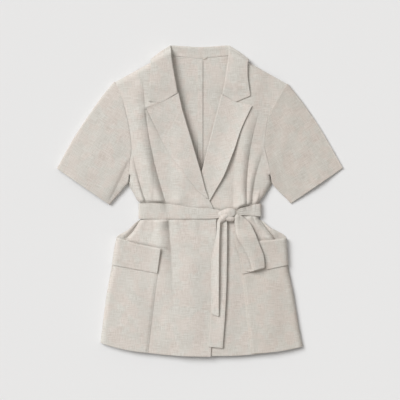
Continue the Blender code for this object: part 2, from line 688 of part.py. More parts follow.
def add_sleeves(collection):
    """Each sleeve is a tube pressed flat, from the curved armhole to the straight hem."""
    around = 2 * np.pi * np.arange(POINTS_ROUND_SLEEVE) / POINTS_ROUND_SLEEVE
    share = (1 - np.cos(around)) / 2
    lift = np.tanh(SLEEVE_EDGE_STEEPNESS * np.sin(around)) / np.tanh(SLEEVE_EDGE_STEEPNESS)
    for name, table, armhole in (
        ("right_sleeve", RIGHT_SLEEVE, RIGHT_ARMHOLE),
        ("left_sleeve", LEFT_SLEEVE, LEFT_ARMHOLE),
    ):
        chord_start, chord_end = np.array(armhole[0]), np.array(armhole[-1])
        chord = chord_start + share[:, None] * (chord_end - chord_start)
        curve = rows_at(armhole, share) - chord
        rows = rows_through(table, ROWS_DOWN_SLEEVE)
        keep = rows[:, 4:5]
        x = rows[:, 0:1] * (1 - share) + rows[:, 2:3] * share + keep * curve[:, 0]
        y = rows[:, 1:2] * (1 - share) + rows[:, 3:4] * share + keep * curve[:, 1]
        z = FLOOR_LEVEL + SLEEVE_HALF_DEPTH * (1 + lift)
        add_piece(collection, name, points_of(x, y, z), ring=True)


def pocket_level(x, y, pocket):
    """Middle of a patch pocket's wall, clear of the front beneath and rolled down at its side."""
    edge = edge_roll(outline_x(pocket, y) - np.abs(x), POCKET_EDGE_ROLL)
    return front_level(x, y, pocket) + POCKET_LIFT * edge


def cuff_level(x, y, cuff):
    edge = edge_roll(outline_x(cuff, y) - np.abs(x), CUFF_EDGE_ROLL)
    return pocket_level(x, y, cuff) + CUFF_LIFT * edge


def add_pockets(collection):
    """Patch pockets from cuff to hem, each with its deep turned-down cuff."""
    for side, pocket, cuff in (
        ("right", RIGHT_POCKET, RIGHT_CUFF),
        ("left", LEFT_POCKET, LEFT_CUFF),
    ):
        x, y = panel_to_hem(rows_through(pocket, 13), 9, 1.7, POCKET_HEM_BOW)
        z = pocket_level(x, y, pocket)
        add_piece(collection, side + "_pocket", points_of(x, y, z))
        x, y = across_three(rows_through(cuff, 6), 13, 1.5)
        z = cuff_level(x, y, cuff)
        add_piece(collection, side + "_pocket_cuff", points_of(x, y, z))


def add_belt(collection):
    """The belt's band: over the fronts, round both sides and under the back."""
    rows = rows_between(BELT, 3)
    x, top, bottom, down = (rows[:, k : k + 1] for k in range(4))
    share = np.linspace(0, 1, 3)[None, :]
    y = top * (1 - share) + bottom * share
    inner_x = np.clip(x, -BELT_LEVEL_HALF_WIDTH, BELT_LEVEL_HALF_WIDTH)
    on_top = carrier_level(inner_x, np.full_like(inner_x, BELT_MIDDLE_Y)) + BELT_REST
    z = on_top * (1 - down) + BELT_BACK_LEVEL * down
    add_piece(collection, "belt", points_of(x, y, z), TWO_PLY)


def add_knot(collection):
    """A soft lump of rings along x, flat beneath, closed at both ends."""
    rows = rows_through(KNOT, 9)
    around = 2 * np.pi * np.arange(12)[None, :] / 12
    x, centre_y, half_height, half_depth = (rows[:, k : k + 1] for k in range(4))
    y = centre_y + half_height * np.cos(around)
    z = KNOT_FLOOR + half_depth * (1 + np.maximum(np.sin(around), -0.5) / 0.75) * 0.75
    points = points_of(x, y, z)
    count = points.shape[1]
    faces = grid_faces(*points.shape[:2], True)
    faces.append(list(range(count)))
    faces.append(list(range(points.shape[0] * count - 1, (points.shape[0] - 1) * count - 1, -1)))
    mesh = bpy.data.meshes.new("belt_knot")
    mesh.from_pydata((points.reshape(-1, 3) * MM).tolist(), [], faces)
    shape = bmesh.new()
    shape.from_mesh(mesh)
    bmesh.ops.recalc_face_normals(shape, faces=shape.faces)
    shape.to_mesh(mesh)
    shape.free()
    mesh.shade_smooth()
    mesh.materials.append(material_for("belt_knot"))
    collection.objects.link(bpy.data.objects.new("belt_knot", mesh))


def tail_level(x, y):
    return carrier_level(np.minimum(x, TAIL_REACH_X), y) + BELT_REST


def add_tails_and_loop(collection):
    """Two tails down the front edge, and the loop that hangs over the left pocket."""
    x, y = across_two(rows_through(TAIL_UNDER, 24), 4)
    z = tail_level(x, y)
    add_piece(collection, "belt_tail_under", points_of(x, y, z), TWO_PLY)
    x, y = across_two(rows_through(TAIL_UPPER, 20), 3)
    z = tail_level(x, y) + TAIL_STEP
    add_piece(collection, "belt_tail_upper", points_of(x, y, z), TWO_PLY)
    rows = rows_through(LOOP, 14)
    under = rows.copy()
    under[:, 0::2] += LOOP_UNDER_SHIFT
    end = rows[-1:] + np.array([LOOP_END_TURN])
    x, y = across_two(np.vstack([under, end, rows[::-1]]), 4)
    step = np.concatenate([-np.ones(len(under)), [0.0], np.ones(len(rows))])[:, None]
    over_cuff = ease((CUFF_START_Y - y) / CUFF_RISE_Y) * ease((x - CUFF_START_X) / CUFF_RISE_X)
    carrier = left_front_level(x, y) + (POCKET_LIFT + CUFF_LIFT) * over_cuff
    z = carrier + BELT_REST + LOOP_HALF_GAPE * (1 + step)
    add_piece(collection, "belt_loop", points_of(x, y, z), TWO_PLY)


def main():
    for old in list(bpy.data.objects):
        bpy.data.objects.remove(old, do_unlink=True)
    collection = bpy.data.collections.new("short_sleeve_jacket")
    bpy.context.scene.collection.children.link(collection)
    add_backs(collection)
    add_fronts(collection)
    add_lapels(collection)
    add_collar(collection)
    add_sleeves(collection)
    add_pockets(collection)
    add_belt(collection)
    add_knot(collection)
    add_tails_and_loop(collection)


main()
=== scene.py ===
"""A short-sleeve jacket with a tied belt, laid flat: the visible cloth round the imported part.

Tables and heights are in millimetres, as on a pattern, and every mesh is written in metres.
The jacket lies in the XY plane, collar at +Y, face of the fronts at +Z.
"""

import bmesh
import bpy
import numpy as np
from bpy.props import FloatProperty, FloatVectorProperty, PointerProperty
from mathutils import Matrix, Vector


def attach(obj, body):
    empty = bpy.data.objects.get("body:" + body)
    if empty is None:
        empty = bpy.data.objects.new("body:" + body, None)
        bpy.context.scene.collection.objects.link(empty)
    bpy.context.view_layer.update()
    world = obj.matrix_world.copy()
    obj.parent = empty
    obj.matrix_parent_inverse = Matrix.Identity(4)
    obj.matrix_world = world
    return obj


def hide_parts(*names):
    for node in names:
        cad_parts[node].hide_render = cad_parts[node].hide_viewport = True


bl_info = {
    "name": "Laid-out short-sleeve jacket",
    "version": (1, 0, 0),
    "blender": (4, 5, 0),
    "location": "3D View > Sidebar > Jacket",
    "description": "Dresses the packed jacket in linen-look cloth and sets its studio",
    "category": "Object",
}

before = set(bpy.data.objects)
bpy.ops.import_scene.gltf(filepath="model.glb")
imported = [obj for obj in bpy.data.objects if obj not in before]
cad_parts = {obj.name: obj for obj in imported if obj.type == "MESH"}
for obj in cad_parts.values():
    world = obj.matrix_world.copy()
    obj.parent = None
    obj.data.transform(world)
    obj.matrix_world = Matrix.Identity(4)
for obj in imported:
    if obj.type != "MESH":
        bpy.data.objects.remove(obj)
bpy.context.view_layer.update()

MM = 0.001

THREAD_RADIUS, THREAD_TWIST = 0.22, 0.5
SEWN_IN = 2.6

# Walls of cloth, and the gap between neighbours
CLOTH = 1.2
TWO_PLY = 1.4
SEAM_GAP = 0.35
# Rings of points round a rounded edge of cloth
EDGE_STEPS = 4

# How the layers are stacked, measured between the middles of the walls
FLOOR_LEVEL = CLOTH / 2
LAYER_STEP = CLOTH + SEAM_GAP
SOLID_PUFF = 2.7
BODY_PUFF = 6.6
EXTRA_PUFF = BODY_PUFF - SOLID_PUFF
BODY_DOME, DOME_HALF_WIDTH = 5.6, 232.0
SIDE_ROLL = 12.0
LAP_LIFT = 3.0
LAPEL_UNDER_LAP = 1.9
POCKET_LIFT = 2.3
CUFF_LIFT = 2.0
LEAF_GAP = 0.6
LEAF_REST = CLOTH / 2 + LEAF_GAP + TWO_PLY / 2
LEAST_PUFF = 1.2
PRESSED_PUFF_LOSS = 0.3
PRESS_SLOPE = 6.5
# How far the pressing reaches past the belt's upper and lower edge, in lengths of its slope
PRESS_BEYOND = (1.3, 1.0)
BULGE_GAP, BULGE_ROLL, BULGE_SOFT, BULGE_RISE = 0.6, 7.0, 16.0, 2.4
# Unevenness of the bulge. Columns: length of one radian, phase, height
BULGE_WAVES = ((13.0, 0.0, 0.3), (7.3, 1.0, 0.2))
FOLD_PRESSING = 0.93
BELT_EDGE_LIFT, BELT_EDGE_REACH = 0.32, 6.0
ARMPIT_Y = 60.0

# Where the lap rises over the left front, and where the left lapel lies beneath it
LAP_START_X, LAP_RISE_X = -72.0, 36.0
LAP_TOP_Y, LAP_RISE_Y = 175.0, 60.0
UNDER_LAPEL_TOP_Y, UNDER_LAPEL_RISE_Y = 105.0, 30.0
UNDER_LAPEL_BREAK_RISE_Y = 20.0
# Where the belt and the tails come down off the lap
CARRIER_END_X, CARRIER_RISE_X = 84.0, 40.0
TAIL_REACH_X = 50.0

# Roll of the lapels, which flattens towards the break of the fronts
ROLL_AT_COLLAR = 1.15
ROLL_AT_BREAK = 0.95
ROLL_FULL_Y, ROLL_FLATTENS_IN = 180.0, 120.0
ROLL_REST_LENGTH = 14.0
ROLL_START_Y, ROLL_START_RISE = 5.0, 5.0
ROLL_END_Y, ROLL_END_RISE = 252.0, 6.0
COLLAR_ROLL = 1.05
COLLAR_STAND_OFF = 2.6

# Belt, and how far the back is lifted over it and over the collar's hidden leaf
BELT_TOP, BELT_BOTTOM = -6.0, -42.0
BACK_OVER_BELT = 2.0
BACK_OVER_COLLAR = 2.3
LEAF_END_Y, LEAF_HALF_WIDTH = 287.0, 114.0
LIFT_MARGIN = 20.0
LIFT_SLOPE = 30.0

CENTRE_BACK = 7.0
CENTRE_BACK_HEM_Y = -354.0

# How far the middle of a panel's hem hangs below the straight line between its ends
FRONT_HEM_BOW = 8.5
BACK_HEM_BOW = 7.5
POCKET_HEM_BOW = 3.5


# Fronts, a row for each section from the shoulder down to the hem.
# Columns: side x, side y, front edge x, front edge y
RIGHT_FRONT = (
    (-195.6, 272.6, -81.2, 335.5),
    (-184.0, 250.0, -74.4, 305.0),
    (-174.0, 222.0, -66.0, 275.0),
    (-167.5, 195.0, -57.6, 250.5),
    (-161.8, 169.6, -44.0, 211.0),
    (-156.3, 120.0, -21.6, 145.0),
    (-160.3, 90.0, -5.4, 90.0),
    (-163.4, 41.0, 7.2, 45.0),
    (-150.5, 14.0, 16.6, 14.0),
    (-143.5, 0.5, 21.0, 1.0),
    (-134.8, -7.0, 27.0, -10.0),
    (-134.6, -40.0, 37.0, -40.0),
    (-140.5, -50.0, 37.2, -52.0),
    (-151.4, -68.0, 37.0, -72.0),
    (-169.0, -88.0, 36.0, -95.0),
    (-192.0, -140.0, 33.0, -150.0),
    (-207.0, -215.0, 30.0, -225.0),
    (-218.5, -290.0, 26.5, -300.0),
    (-223.0, -328.5, 24.5, -357.2),
)
LEFT_FRONT = (
    (200.6, 268.0, 81.2, 335.5),
    (187.0, 249.0, 74.4, 305.0),
    (173.0, 226.0, 66.0, 275.0),
    (160.5, 202.0, 58.4, 248.5),
    (154.8, 185.0, 45.0, 213.0),
    (148.8, 126.0, 24.8, 145.0),
    (157.0, 85.0, 10.8, 90.0),
    (164.3, 41.0, -3.4, 45.0),
    (149.0, 14.0, -14.0, 14.0),
    (139.5, 1.0, -19.0, 1.0),
    (135.0, -7.0, -24.0, -10.0),
    (135.0, -40.0, -29.0, -40.0),
    (143.0, -50.0, -29.0, -52.0),
    (153.6, -64.0, -29.0, -70.0),
    (171.0, -86.0, -28.0, -95.0),
    (193.5, -140.0, -27.0, -150.0),
    (207.0, -215.0, -25.0, -225.0),
    (221.0, -290.0, -23.0, -300.0),
    (230.0, -336.5, -22.0, -354.5),
)
# Backs, whose own edge shows between the belt and the pockets.
# Columns: side x, side y, neck or centre seam x, y
RIGHT_BACK = (
    (-195.6, 272.6, -79.0, 335.5),
    (-184.0, 250.0, -40.0, 331.0),
    (-174.0, 222.0, CENTRE_BACK, 327.5),
    (-167.5, 195.0, CENTRE_BACK, 285.0),
    (-161.8, 169.6, CENTRE_BACK, 240.0),
    (-156.3, 120.0, CENTRE_BACK, 150.0),
    (-160.3, 90.0, CENTRE_BACK, 100.0),
    (-163.4, 41.0, CENTRE_BACK, 45.0),
    (-150.5, 14.0, CENTRE_BACK, 14.0),
    (-143.5, 0.5, CENTRE_BACK, 0.5),
    (-134.8, -7.0, CENTRE_BACK, -7.0),
    (-134.6, -40.0, CENTRE_BACK, -40.0),
    (-147.0, -50.0, CENTRE_BACK, -50.0),
    (-165.3, -67.3, CENTRE_BACK, -67.0),
    (-191.0, -84.0, CENTRE_BACK, -84.0),
    (-201.8, -146.6, CENTRE_BACK, -147.0),
    (-213.4, -210.0, CENTRE_BACK, -212.0),
    (-224.9, -297.3, CENTRE_BACK, -300.0),
    (-228.5, -326.5, CENTRE_BACK, CENTRE_BACK_HEM_Y),
)
LEFT_BACK = (
    (200.6, 268.0, 79.0, 335.5),
    (187.0, 249.0, 42.0, 331.2),
    (173.0, 226.0, CENTRE_BACK, 327.5),
    (160.5, 202.0, CENTRE_BACK, 285.0),
    (154.8, 185.0, CENTRE_BACK, 240.0),
    (148.8, 126.0, CENTRE_BACK, 150.0),
    (157.0, 85.0, CENTRE_BACK, 95.0),
    (164.3, 41.0, CENTRE_BACK, 45.0),
    (149.0, 14.0, CENTRE_BACK, 14.0),
    (139.5, 1.0, CENTRE_BACK, 1.0),
    (135.0, -7.0, CENTRE_BACK, -7.0),
    (135.0, -40.0, CENTRE_BACK, -40.0),
    (146.0, -48.0, CENTRE_BACK, -48.0),
    (156.7, -58.1, CENTRE_BACK, -58.0),
    (198.6, -86.0, CENTRE_BACK, -86.0),
    (203.7, -147.3, CENTRE_BACK, -147.0),
    (213.5, -210.0, CENTRE_BACK, -212.0),
    (227.5, -290.0, CENTRE_BACK, -300.0),
    (236.4, -334.6, CENTRE_BACK, CENTRE_BACK_HEM_Y),
)
SHOULDER_START = (79.0, 335.5)
SHOULDER_SLOPE = -0.54

# Roll line of each front, from the break up to the collar. Columns: x, y
RIGHT_ROLL = (
    (20.6, 2.6),
    (12.5, 24.7),
    (1.7, 66.1),
    (-41.1, 211.0),
    (-49.3, 248.7),
    (-55.3, 272.4),
)
LEFT_ROLL = (
    (-18.0, 3.0),
    (-3.4, 45.0),
    (6.8, 74.2),
    (51.1, 248.0),
    (59.5, 280.9),
)
# Lapels. Columns: y on the roll line, middle x, middle y, edge x, edge y
RIGHT_LAPEL = (
    (247.0, -88.0, 224.6, -121.3, 211.0),
    (229.0, -80.0, 205.0, -111.0, 190.0),
    (200.0, -68.0, 176.0, -97.5, 162.0),
    (160.0, -54.0, 143.0, -83.0, 132.5),
    (114.0, -38.0, 107.0, -64.5, 100.0),
    (66.0, -16.0, 65.0, -34.0, 63.0),
    (25.0, 4.0, 24.8, -6.0, 25.0),
    (6.0, 17.4, 6.1, 14.0, 6.3),
)
LEFT_LAPEL = (
    (243.5, 82.0, 225.8, 119.2, 217.9),
    (229.0, 76.0, 205.0, 105.0, 189.0),
    (198.0, 66.0, 177.0, 93.5, 163.0),
    (163.0, 55.0, 147.0, 79.2, 119.9),
    (122.0, 45.0, 101.0, 66.5, 87.0),
    (80.0, 31.0, 67.0, 53.0, 54.6),
    (46.0, 16.0, 38.0, 36.5, 26.0),
    (14.0, 4.0, 9.0, 22.0, 0.5),
)

# Collar, from the right gorge round the back of the neck to the left gorge.
# Columns: seam xyz, fold xyz, middle xyz, edge xyz, turn of the leaf (0 on top, 180 beneath)
COLLAR = (
    (-55.8, 248.4, 4.9, -51.5, 247.9, 7.0, -88.0, 225.5, 7.3, -117.4, 228.6, 8.4, 0),
    (-64.5, 275.0, 4.9, -56.0, 274.0, 7.2, -84.0, 262.0, 8.2, -115.5, 255.0, 7.4, 0),
    (-73.0, 305.0, 5.0, -61.5, 304.0, 7.5, -86.0, 297.0, 9.4, -113.0, 290.0, 7.1, 0),
    (-78.4, 325.0, 5.0, -65.5, 332.0, 7.6, -88.0, 322.0, 9.6, -111.6, 309.0, 7.6, 8),
    (-79.5, 338.0, 4.8, -66.8, 350.0, 7.0, -89.0, 336.0, 9.2, -112.4, 320.5, 7.6, 40),
    (-76.5, 341.0, 4.6, -67.4, 356.0, 6.0, -91.0, 342.5, 6.0, -113.8, 324.4, 4.6, 90),
    (-72.0, 336.4, 4.4, -66.0, 357.0, 4.0, -91.0, 337.5, 1.4, -112.5, 319.5, 0.9, 140),
    (-62.0, 334.6, 3.9, -60.0, 357.0, 3.2, -80.0, 325.0, 0.8, -103.0, 302.0, 0.7, 180),
    (-33.0, 331.4, 3.6, -31.0, 355.0, 3.2, -40.0, 320.0, 0.7, -55.0, 291.0, 0.7, 180),
    (0.0, 328.3, 3.4, 0.0, 353.4, 3.2, 0.0, 319.0, 0.7, 0.0, 288.0, 0.7, 180),
    (33.0, 331.4, 3.6, 31.0, 355.0, 3.2, 40.0, 320.0, 0.7, 55.0, 291.0, 0.7, 180),
    (62.0, 334.6, 3.9, 59.0, 357.0, 3.2, 80.0, 325.0, 0.8, 102.0, 302.0, 0.7, 180),
    (72.0, 336.4, 4.4, 65.0, 357.0, 4.0, 90.0, 337.5, 1.4, 111.0, 319.5, 0.9, 140),
    (76.5, 341.0, 4.6, 66.4, 356.0, 6.0, 90.0, 342.5, 6.0, 112.0, 325.4, 4.6, 90),
    (79.5, 338.0, 4.8, 66.8, 350.0, 7.0, 89.0, 336.0, 9.2, 110.6, 321.5, 7.6, 40),
    (78.4, 325.0, 5.0, 66.0, 332.0, 7.6, 87.0, 322.0, 9.6, 108.6, 311.0, 7.6, 8),
    (73.0, 305.0, 5.0, 62.0, 304.0, 7.5, 84.0, 295.0, 9.4, 109.0, 286.0, 7.1, 0),
    (64.5, 275.0, 4.9, 57.7, 274.0, 7.2, 82.0, 262.0, 8.2, 112.0, 262.0, 6.9, 0),
    (56.2, 246.6, 4.9, 52.2, 244.6, 7.0, 82.0, 226.8, 6.4, 115.3, 241.0, 6.9, 0),
)

# Armholes, from the shoulder tip to the armpit. Columns: x, y
RIGHT_ARMHOLE = (
    (-195.6, 272.6),
    (-184.0, 250.0),
    (-174.0, 222.0),
    (-167.5, 195.0),
    (-161.8, 169.6),
    (-156.3, 120.0),
    (-160.3, 90.0),
    (-163.4, 41.0),
)
LEFT_ARMHOLE = (
    (200.6, 268.0),
    (187.0, 249.0),
    (173.0, 226.0),
    (160.5, 202.0),
    (154.8, 185.0),
    (148.8, 126.0),
    (157.0, 85.0),
    (164.3, 41.0),
)
# Sleeves, a row for each section from the armhole to the hem.
# Columns: outer x, outer y, inner x, inner y, share of the armhole's curve that it keeps
RIGHT_SLEEVE = (
    (-197.0, 273.6, -164.6, 41.2, 1.0),
    (-214.0, 254.0, -172.0, 33.0, 0.75),
    (-244.8, 212.4, -181.0, 22.0, 0.4),
    (-292.0, 140.6, -195.0, 6.5, 0.1),
    (-328.5, 74.5, -207.8, -8.6, 0.0),
)
LEFT_SLEEVE = (
    (202.0, 269.0, 165.5, 41.2, 1.0),
    (214.0, 254.0, 172.0, 33.0, 0.75),
    (238.6, 222.7, 181.0, 23.0, 0.4),
    (279.6, 161.1, 195.0, 10.0, 0.1),
    (328.5, 75.5, 209.6, -5.6, 0.0),
)
SLEEVE_HALF_DEPTH = 4.2
SLEEVE_DOME = 5.0
SLEEVE_EDGE_STEEPNESS = 6.0

# Patch pockets. Columns: side x, side y, inner x, inner y
RIGHT_POCKET = (
    (-189.0, -88.0, -91.5, -112.5),
    (-199.2, -146.6, -96.5, -160.0),
    (-213.4, -210.0, -103.6, -215.0),
    (-224.9, -297.3, -114.0, -300.0),
    (-228.5, -326.5, -119.7, -349.0),
)
LEFT_POCKET = (
    (196.8, -88.0, 88.0, -97.0),
    (200.4, -147.3, 96.5, -160.0),
    (214.5, -210.0, 102.6, -215.0),
    (227.5, -290.0, 112.0, -300.0),
    (236.4, -334.6, 118.3, -350.5),
)
POCKET_EDGE_ROLL = 5.0
POCKET_SEAM_DROP, POCKET_SEAM_WIDTH = 1.5, 7.0
CUFF_EDGE_ROLL = 4.0
CUFF_TURN, CUFF_TURN_SOFT, CUFF_TURN_RISE = 4.0, 22.0, 3.4
# Turned-down cuffs of the pockets. Columns: side x, side y, middle x, middle y, inner x, inner y
RIGHT_CUFF = (
    (-191.4, -83.8, -150.0, -97.4, -90.3, -109.8),
    (-197.6, -115.0, -150.0, -126.0, -94.0, -137.0),
    (-202.2, -146.4, -150.0, -156.4, -98.1, -165.3),
)
LEFT_CUFF = (
    (198.9, -86.5, 150.0, -91.4, 84.3, -92.8),
    (201.8, -116.0, 150.0, -124.0, 90.8, -130.0),
    (203.6, -146.6, 150.0, -158.0, 97.4, -167.3),
)

# Rolled folds: a ridge that curls over and drops steeply at its crease.
# Columns: crease start x, y, end x, y, bow of the crease towards +x, soft width at start, at end,
# roll width at start, at end (ridge on the -x side, minus puts it on the other), rise at start, at end
FRONT_FOLDS = (
    (-130.0, 262.0, -79.5, -3.0, -9.0, 28.0, 18.0, 25.0, 12.0, 6.0, 10.4),
    (-153.0, 102.0, -125.0, -3.0, -2.0, 9.0, 9.0, 6.0, 4.2, 2.2, 6.4),
    (-118.0, 176.0, -108.0, -3.0, 6.0, 20.0, 10.0, 16.0, 8.0, 0.3, 2.0),
    (-60.0, 70.0, -40.0, -3.0, 2.0, 22.0, 14.0, 16.0, 9.0, 0.2, 1.3),
    (-62.0, -232.0, -74.0, -41.0, 2.0, 26.0, 14.0, 28.0, 15.0, 1.2, 8.6),
    (-113.0, -96.0, -106.0, -42.0, 0.0, 9.0, 8.0, 6.0, 4.0, 0.2, 1.4),
    (-40.0, -120.0, -50.0, -42.0, 3.0, 20.0, 12.0, 14.0, 8.0, 0.2, 1.5),
    (8.0, -110.0, -4.0, -42.0, -2.0, 16.0, 10.0, 12.0, 7.0, 0.2, 1.1),
    (134.0, 196.0, 107.0, -3.0, -8.5, 22.0, 15.0, 20.0, 7.6, 2.6, 9.8),
    (147.0, 116.0, 118.6, -6.0, -5.5, 12.0, 8.0, 10.0, 7.0, 1.4, 6.4),
    (139.0, 22.0, 132.0, -10.0, 0.0, 6.0, 5.0, 4.0, 3.0, 0.8, 3.6),
    (77.0, 120.0, 76.0, -12.0, 0.0, 18.0, 15.0, 14.0, 9.0, 0.5, 2.4),
    (141.0, -72.0, 120.0, -34.0, -2.0, 9.0, 7.0, 7.0, 6.0, 0.6, 4.6),
    (156.0, -76.0, 131.0, -34.0, -2.0, 9.0, 6.0, 7.0, 5.0, 0.5, 3.2),
    (96.0, -150.0, 92.0, -34.0, -3.0, 18.0, 10.0, 14.0, 7.0, 0.3, 1.6),
    (-125.0, 216.0, -81.0, 128.0, 0.0, 18.0, 18.0, 14.0, 12.0, 4.6, 1.2),
    (-88.0, 224.0, -122.0, 210.2, 0.0, 7.0, 7.0, 5.0, 5.0, 2.6, 2.6),
    (-193.0, -83.0, -86.0, -109.0, -3.8, 12.0, 12.0, -6.0, -6.0, 4.2, 2.6),
    (200.0, -86.0, 146.0, -89.4, 0.8, 12.0, 10.0, 6.0, 6.0, 3.0, 0.8),
)
BACK_FOLDS = (
    (-172.0, -87.0, -136.0, -42.0, 1.5, 6.0, 5.0, 6.0, 4.0, 4.6, 4.2),
    (172.0, -84.0, 139.0, -43.0, -1.5, 6.0, 5.0, -6.0, -4.0, 3.6, 2.6),
)
# Columns as for the fronts' folds
SLEEVE_FOLDS = (
    (-163.0, 92.0, -204.0, 8.0, 0.0, 16.0, 20.0, 7.0, 9.0, 2.4, 2.0),
    (-176.0, 150.0, -215.0, 60.0, 6.0, 26.0, 30.0, 18.0, 22.0, 0.8, 0.3),
    (170.0, 120.0, 206.0, 20.0, -5.0, 24.0, 28.0, -14.0, -18.0, 1.2, 0.8),
    (-210.0, 235.0, -262.0, 130.0, 0.0, 30.0, 34.0, 22.0, 26.0, 0.7, 0.5),
    (216.0, 225.0, 262.0, 130.0, 0.0, 30.0, 34.0, 22.0, 26.0, 0.6, 0.5),
)
# Share of the quarter ellipse in a fold's profile
CURL_SHARE = 0.4
# Shares of its length over which a fold or swell fades in, and a fold runs on past its end
FADE_IN, FOLD_OVERRUN = 0.3, 0.25
# Soft swells of the laid cloth. Columns: start x, y, end x, y, half width, rise
FRONT_SWELLS = (
    (-16.0, -310.0, -22.0, -130.0, 26.0, 3.4),
    (-68.0, -330.0, -62.0, -170.0, 20.0, 2.6),
    (60.0, -330.0, 74.0, -150.0, 18.0, 2.2),
    (-120.0, 250.0, -108.0, 60.0, 26.0, 1.6),
    (120.0, 250.0, 104.0, 100.0, 24.0, 2.2),
    (-150.0, -310.0, -140.0, -180.0, 24.0, 2.0),
    (165.0, -310.0, 158.0, -180.0, 26.0, 2.4),
    (-60.0, 150.0, -40.0, 40.0, 26.0, 1.8),
    (-110.0, -190.0, 10.0, -225.0, 24.0, 1.2),
)

BACK_SWELLS = (
    (-128.0, -70.0, -96.0, -300.0, 22.0, 0.8),
    (66.0, -80.0, 104.0, -290.0, 26.0, 0.8),
    (-74.0, 190.0, -112.0, 24.0, 20.0, 0.7),
    (78.0, 176.0, 108.0, 34.0, 24.0, 0.6),
    (-34.0, -66.0, -46.0, -230.0, 16.0, 0.5),
)

# Slow waves that keep laid cloth from being dead flat.
# Columns: length along x, length along y, phase, height
RIPPLES = (
    (96.0, 210.0, 0.4, 0.16),
    (-61.0, 130.0, 2.1, 0.12),
    (150.0, 57.0, 4.0, 0.10),
    (43.0, -260.0, 1.3, 0.07),
    (230.0, -41.0, 5.2, 0.06),
)

# Belt, from the knot over the right front, round the back and over the left front to the knot.
# Columns: x, top y, bottom y, share of the way down the side (0 on top, 1 beneath)
BELT = (
    (49.0, -24.0, -38.5, 0.0),
    (36.0, -20.5, -40.3, 0.0),
    (15.0, -18.0, -41.2, 0.0),
    (-11.0, -17.0, -41.3, 0.0),
    (-60.0, -9.5, -41.4, 0.0),
    (-87.0, -7.0, -41.4, 0.0),
    (-126.0, -6.6, -41.2, 0.0),
    (-137.0, -6.6, -41.2, 0.12),
    (-140.4, -6.8, -41.2, 0.5),
    (-137.0, -7.0, -41.2, 0.95),
    (-130.0, -7.0, -41.2, 1.0),
    (0.0, -7.0, -41.0, 1.0),
    (130.0, -7.0, -40.5, 1.0),
    (137.4, -7.2, -38.0, 0.95),
    (140.8, -7.2, -36.4, 0.5),
    (137.4, -7.4, -35.6, 0.12),
    (126.0, -9.4, -34.4, 0.0),
    (100.0, -16.4, -32.4, 0.0),
    (92.0, -18.6, -31.6, 0.0),
    (87.0, -22.0, -29.5, 0.0),
)
BELT_REST = 2.3
BELT_BACK_LEVEL = TWO_PLY / 2
BELT_MIDDLE_Y = -24.0
BELT_PLEATS_X = -12.0
BELT_LEVEL_HALF_WIDTH = 118.0

# Lobes of the knot. Columns: x, y, height above the knot's floor, half width, half depth
KNOT_BODY = (
    (41.0, -31.5, 1.6, 0.0, 0.0),
    (43.0, -31.4, 1.8, 3.8, 1.6),
    (50.0, -30.8, 2.8, 8.0, 3.0),
    (59.0, -30.0, 4.2, 11.0, 4.4),
    (68.0, -28.4, 5.0, 11.6, 4.8),
    (76.0, -26.8, 4.4, 9.6, 4.2),
    (81.0, -25.6, 3.4, 5.4, 3.0),
    (83.2, -25.2, 2.6, 0.0, 0.0),
)
KNOT_LEFT_TURN = (
    (66.0, -33.0, 5.4, 0.0, 0.0),
    (63.0, -34.0, 6.0, 5.0, 3.8),
    (56.0, -38.0, 6.0, 7.4, 4.8),
    (48.0, -45.0, 4.6, 6.2, 4.2),
    (42.6, -53.0, 3.4, 3.0, 2.4),
    (41.4, -58.0, 2.8, 0.0, 0.0),
)
KNOT_RIGHT_TURN = (
    (55.0, -37.5, 4.4, 0.0, 0.0),
    (58.0, -38.4, 5.0, 4.4, 3.4),
    (66.0, -41.0, 5.2, 6.0, 4.4),
    (74.0, -42.0, 4.6, 5.8, 4.2),
    (79.0, -41.6, 3.6, 3.6, 3.0),
    (80.8, -41.2, 3.0, 0.0, 0.0),
)
KNOT_FLOOR = 11.0 + (EXTRA_PUFF + 0.9 * BODY_DOME) * (1 - PRESSED_PUFF_LOSS)

# Tails and loop. Columns: left x, left y, right x, right y
TAIL_UNDER = (
    (47.0, -43.0, 61.0, -43.0),
    (46.0, -58.0, 62.0, -58.0),
    (38.0, -110.0, 61.8, -110.0),
    (31.0, -182.0, 60.6, -182.3),
    (25.0, -265.0, 56.8, -266.0),
    (19.6, -333.9, 51.7, -337.2),
)
TAIL_UPPER = (
    (39.9, -49.0, 46.0, -49.5),
    (38.3, -76.5, 44.6, -77.0),
    (31.0, -110.0, 43.8, -111.0),
    (25.8, -150.0, 43.2, -152.0),
    (25.6, -200.0, 42.9, -203.0),
    (26.1, -258.7, 43.0, -264.5),
)
TAIL_STEP = TWO_PLY + 0.7
LOOP = (
    (78.5, -22.5, 87.0, -24.0),
    (79.0, -31.0, 91.0, -31.0),
    (79.0, -40.0, 98.5, -37.5),
    (81.0, -58.0, 114.5, -52.0),
    (85.0, -80.0, 125.0, -73.0),
    (98.0, -105.0, 136.5, -102.0),
    (112.0, -131.0, 146.5, -132.0),
    (120.0, -158.0, 147.6, -151.0),
)
LOOP_UNDER_LEFT, LOOP_UNDER_RIGHT = -17.0, -12.0
LOOP_HALF_GAPE = 1.7
LOOP_END_TURN = (1.2, -2.6, 0.8, -2.6)
# Where the loop rises on to the cuff of the left pocket
CUFF_START_Y, CUFF_RISE_Y = -62.0, 22.0
CUFF_START_X, CUFF_RISE_X = 62.0, 18.0

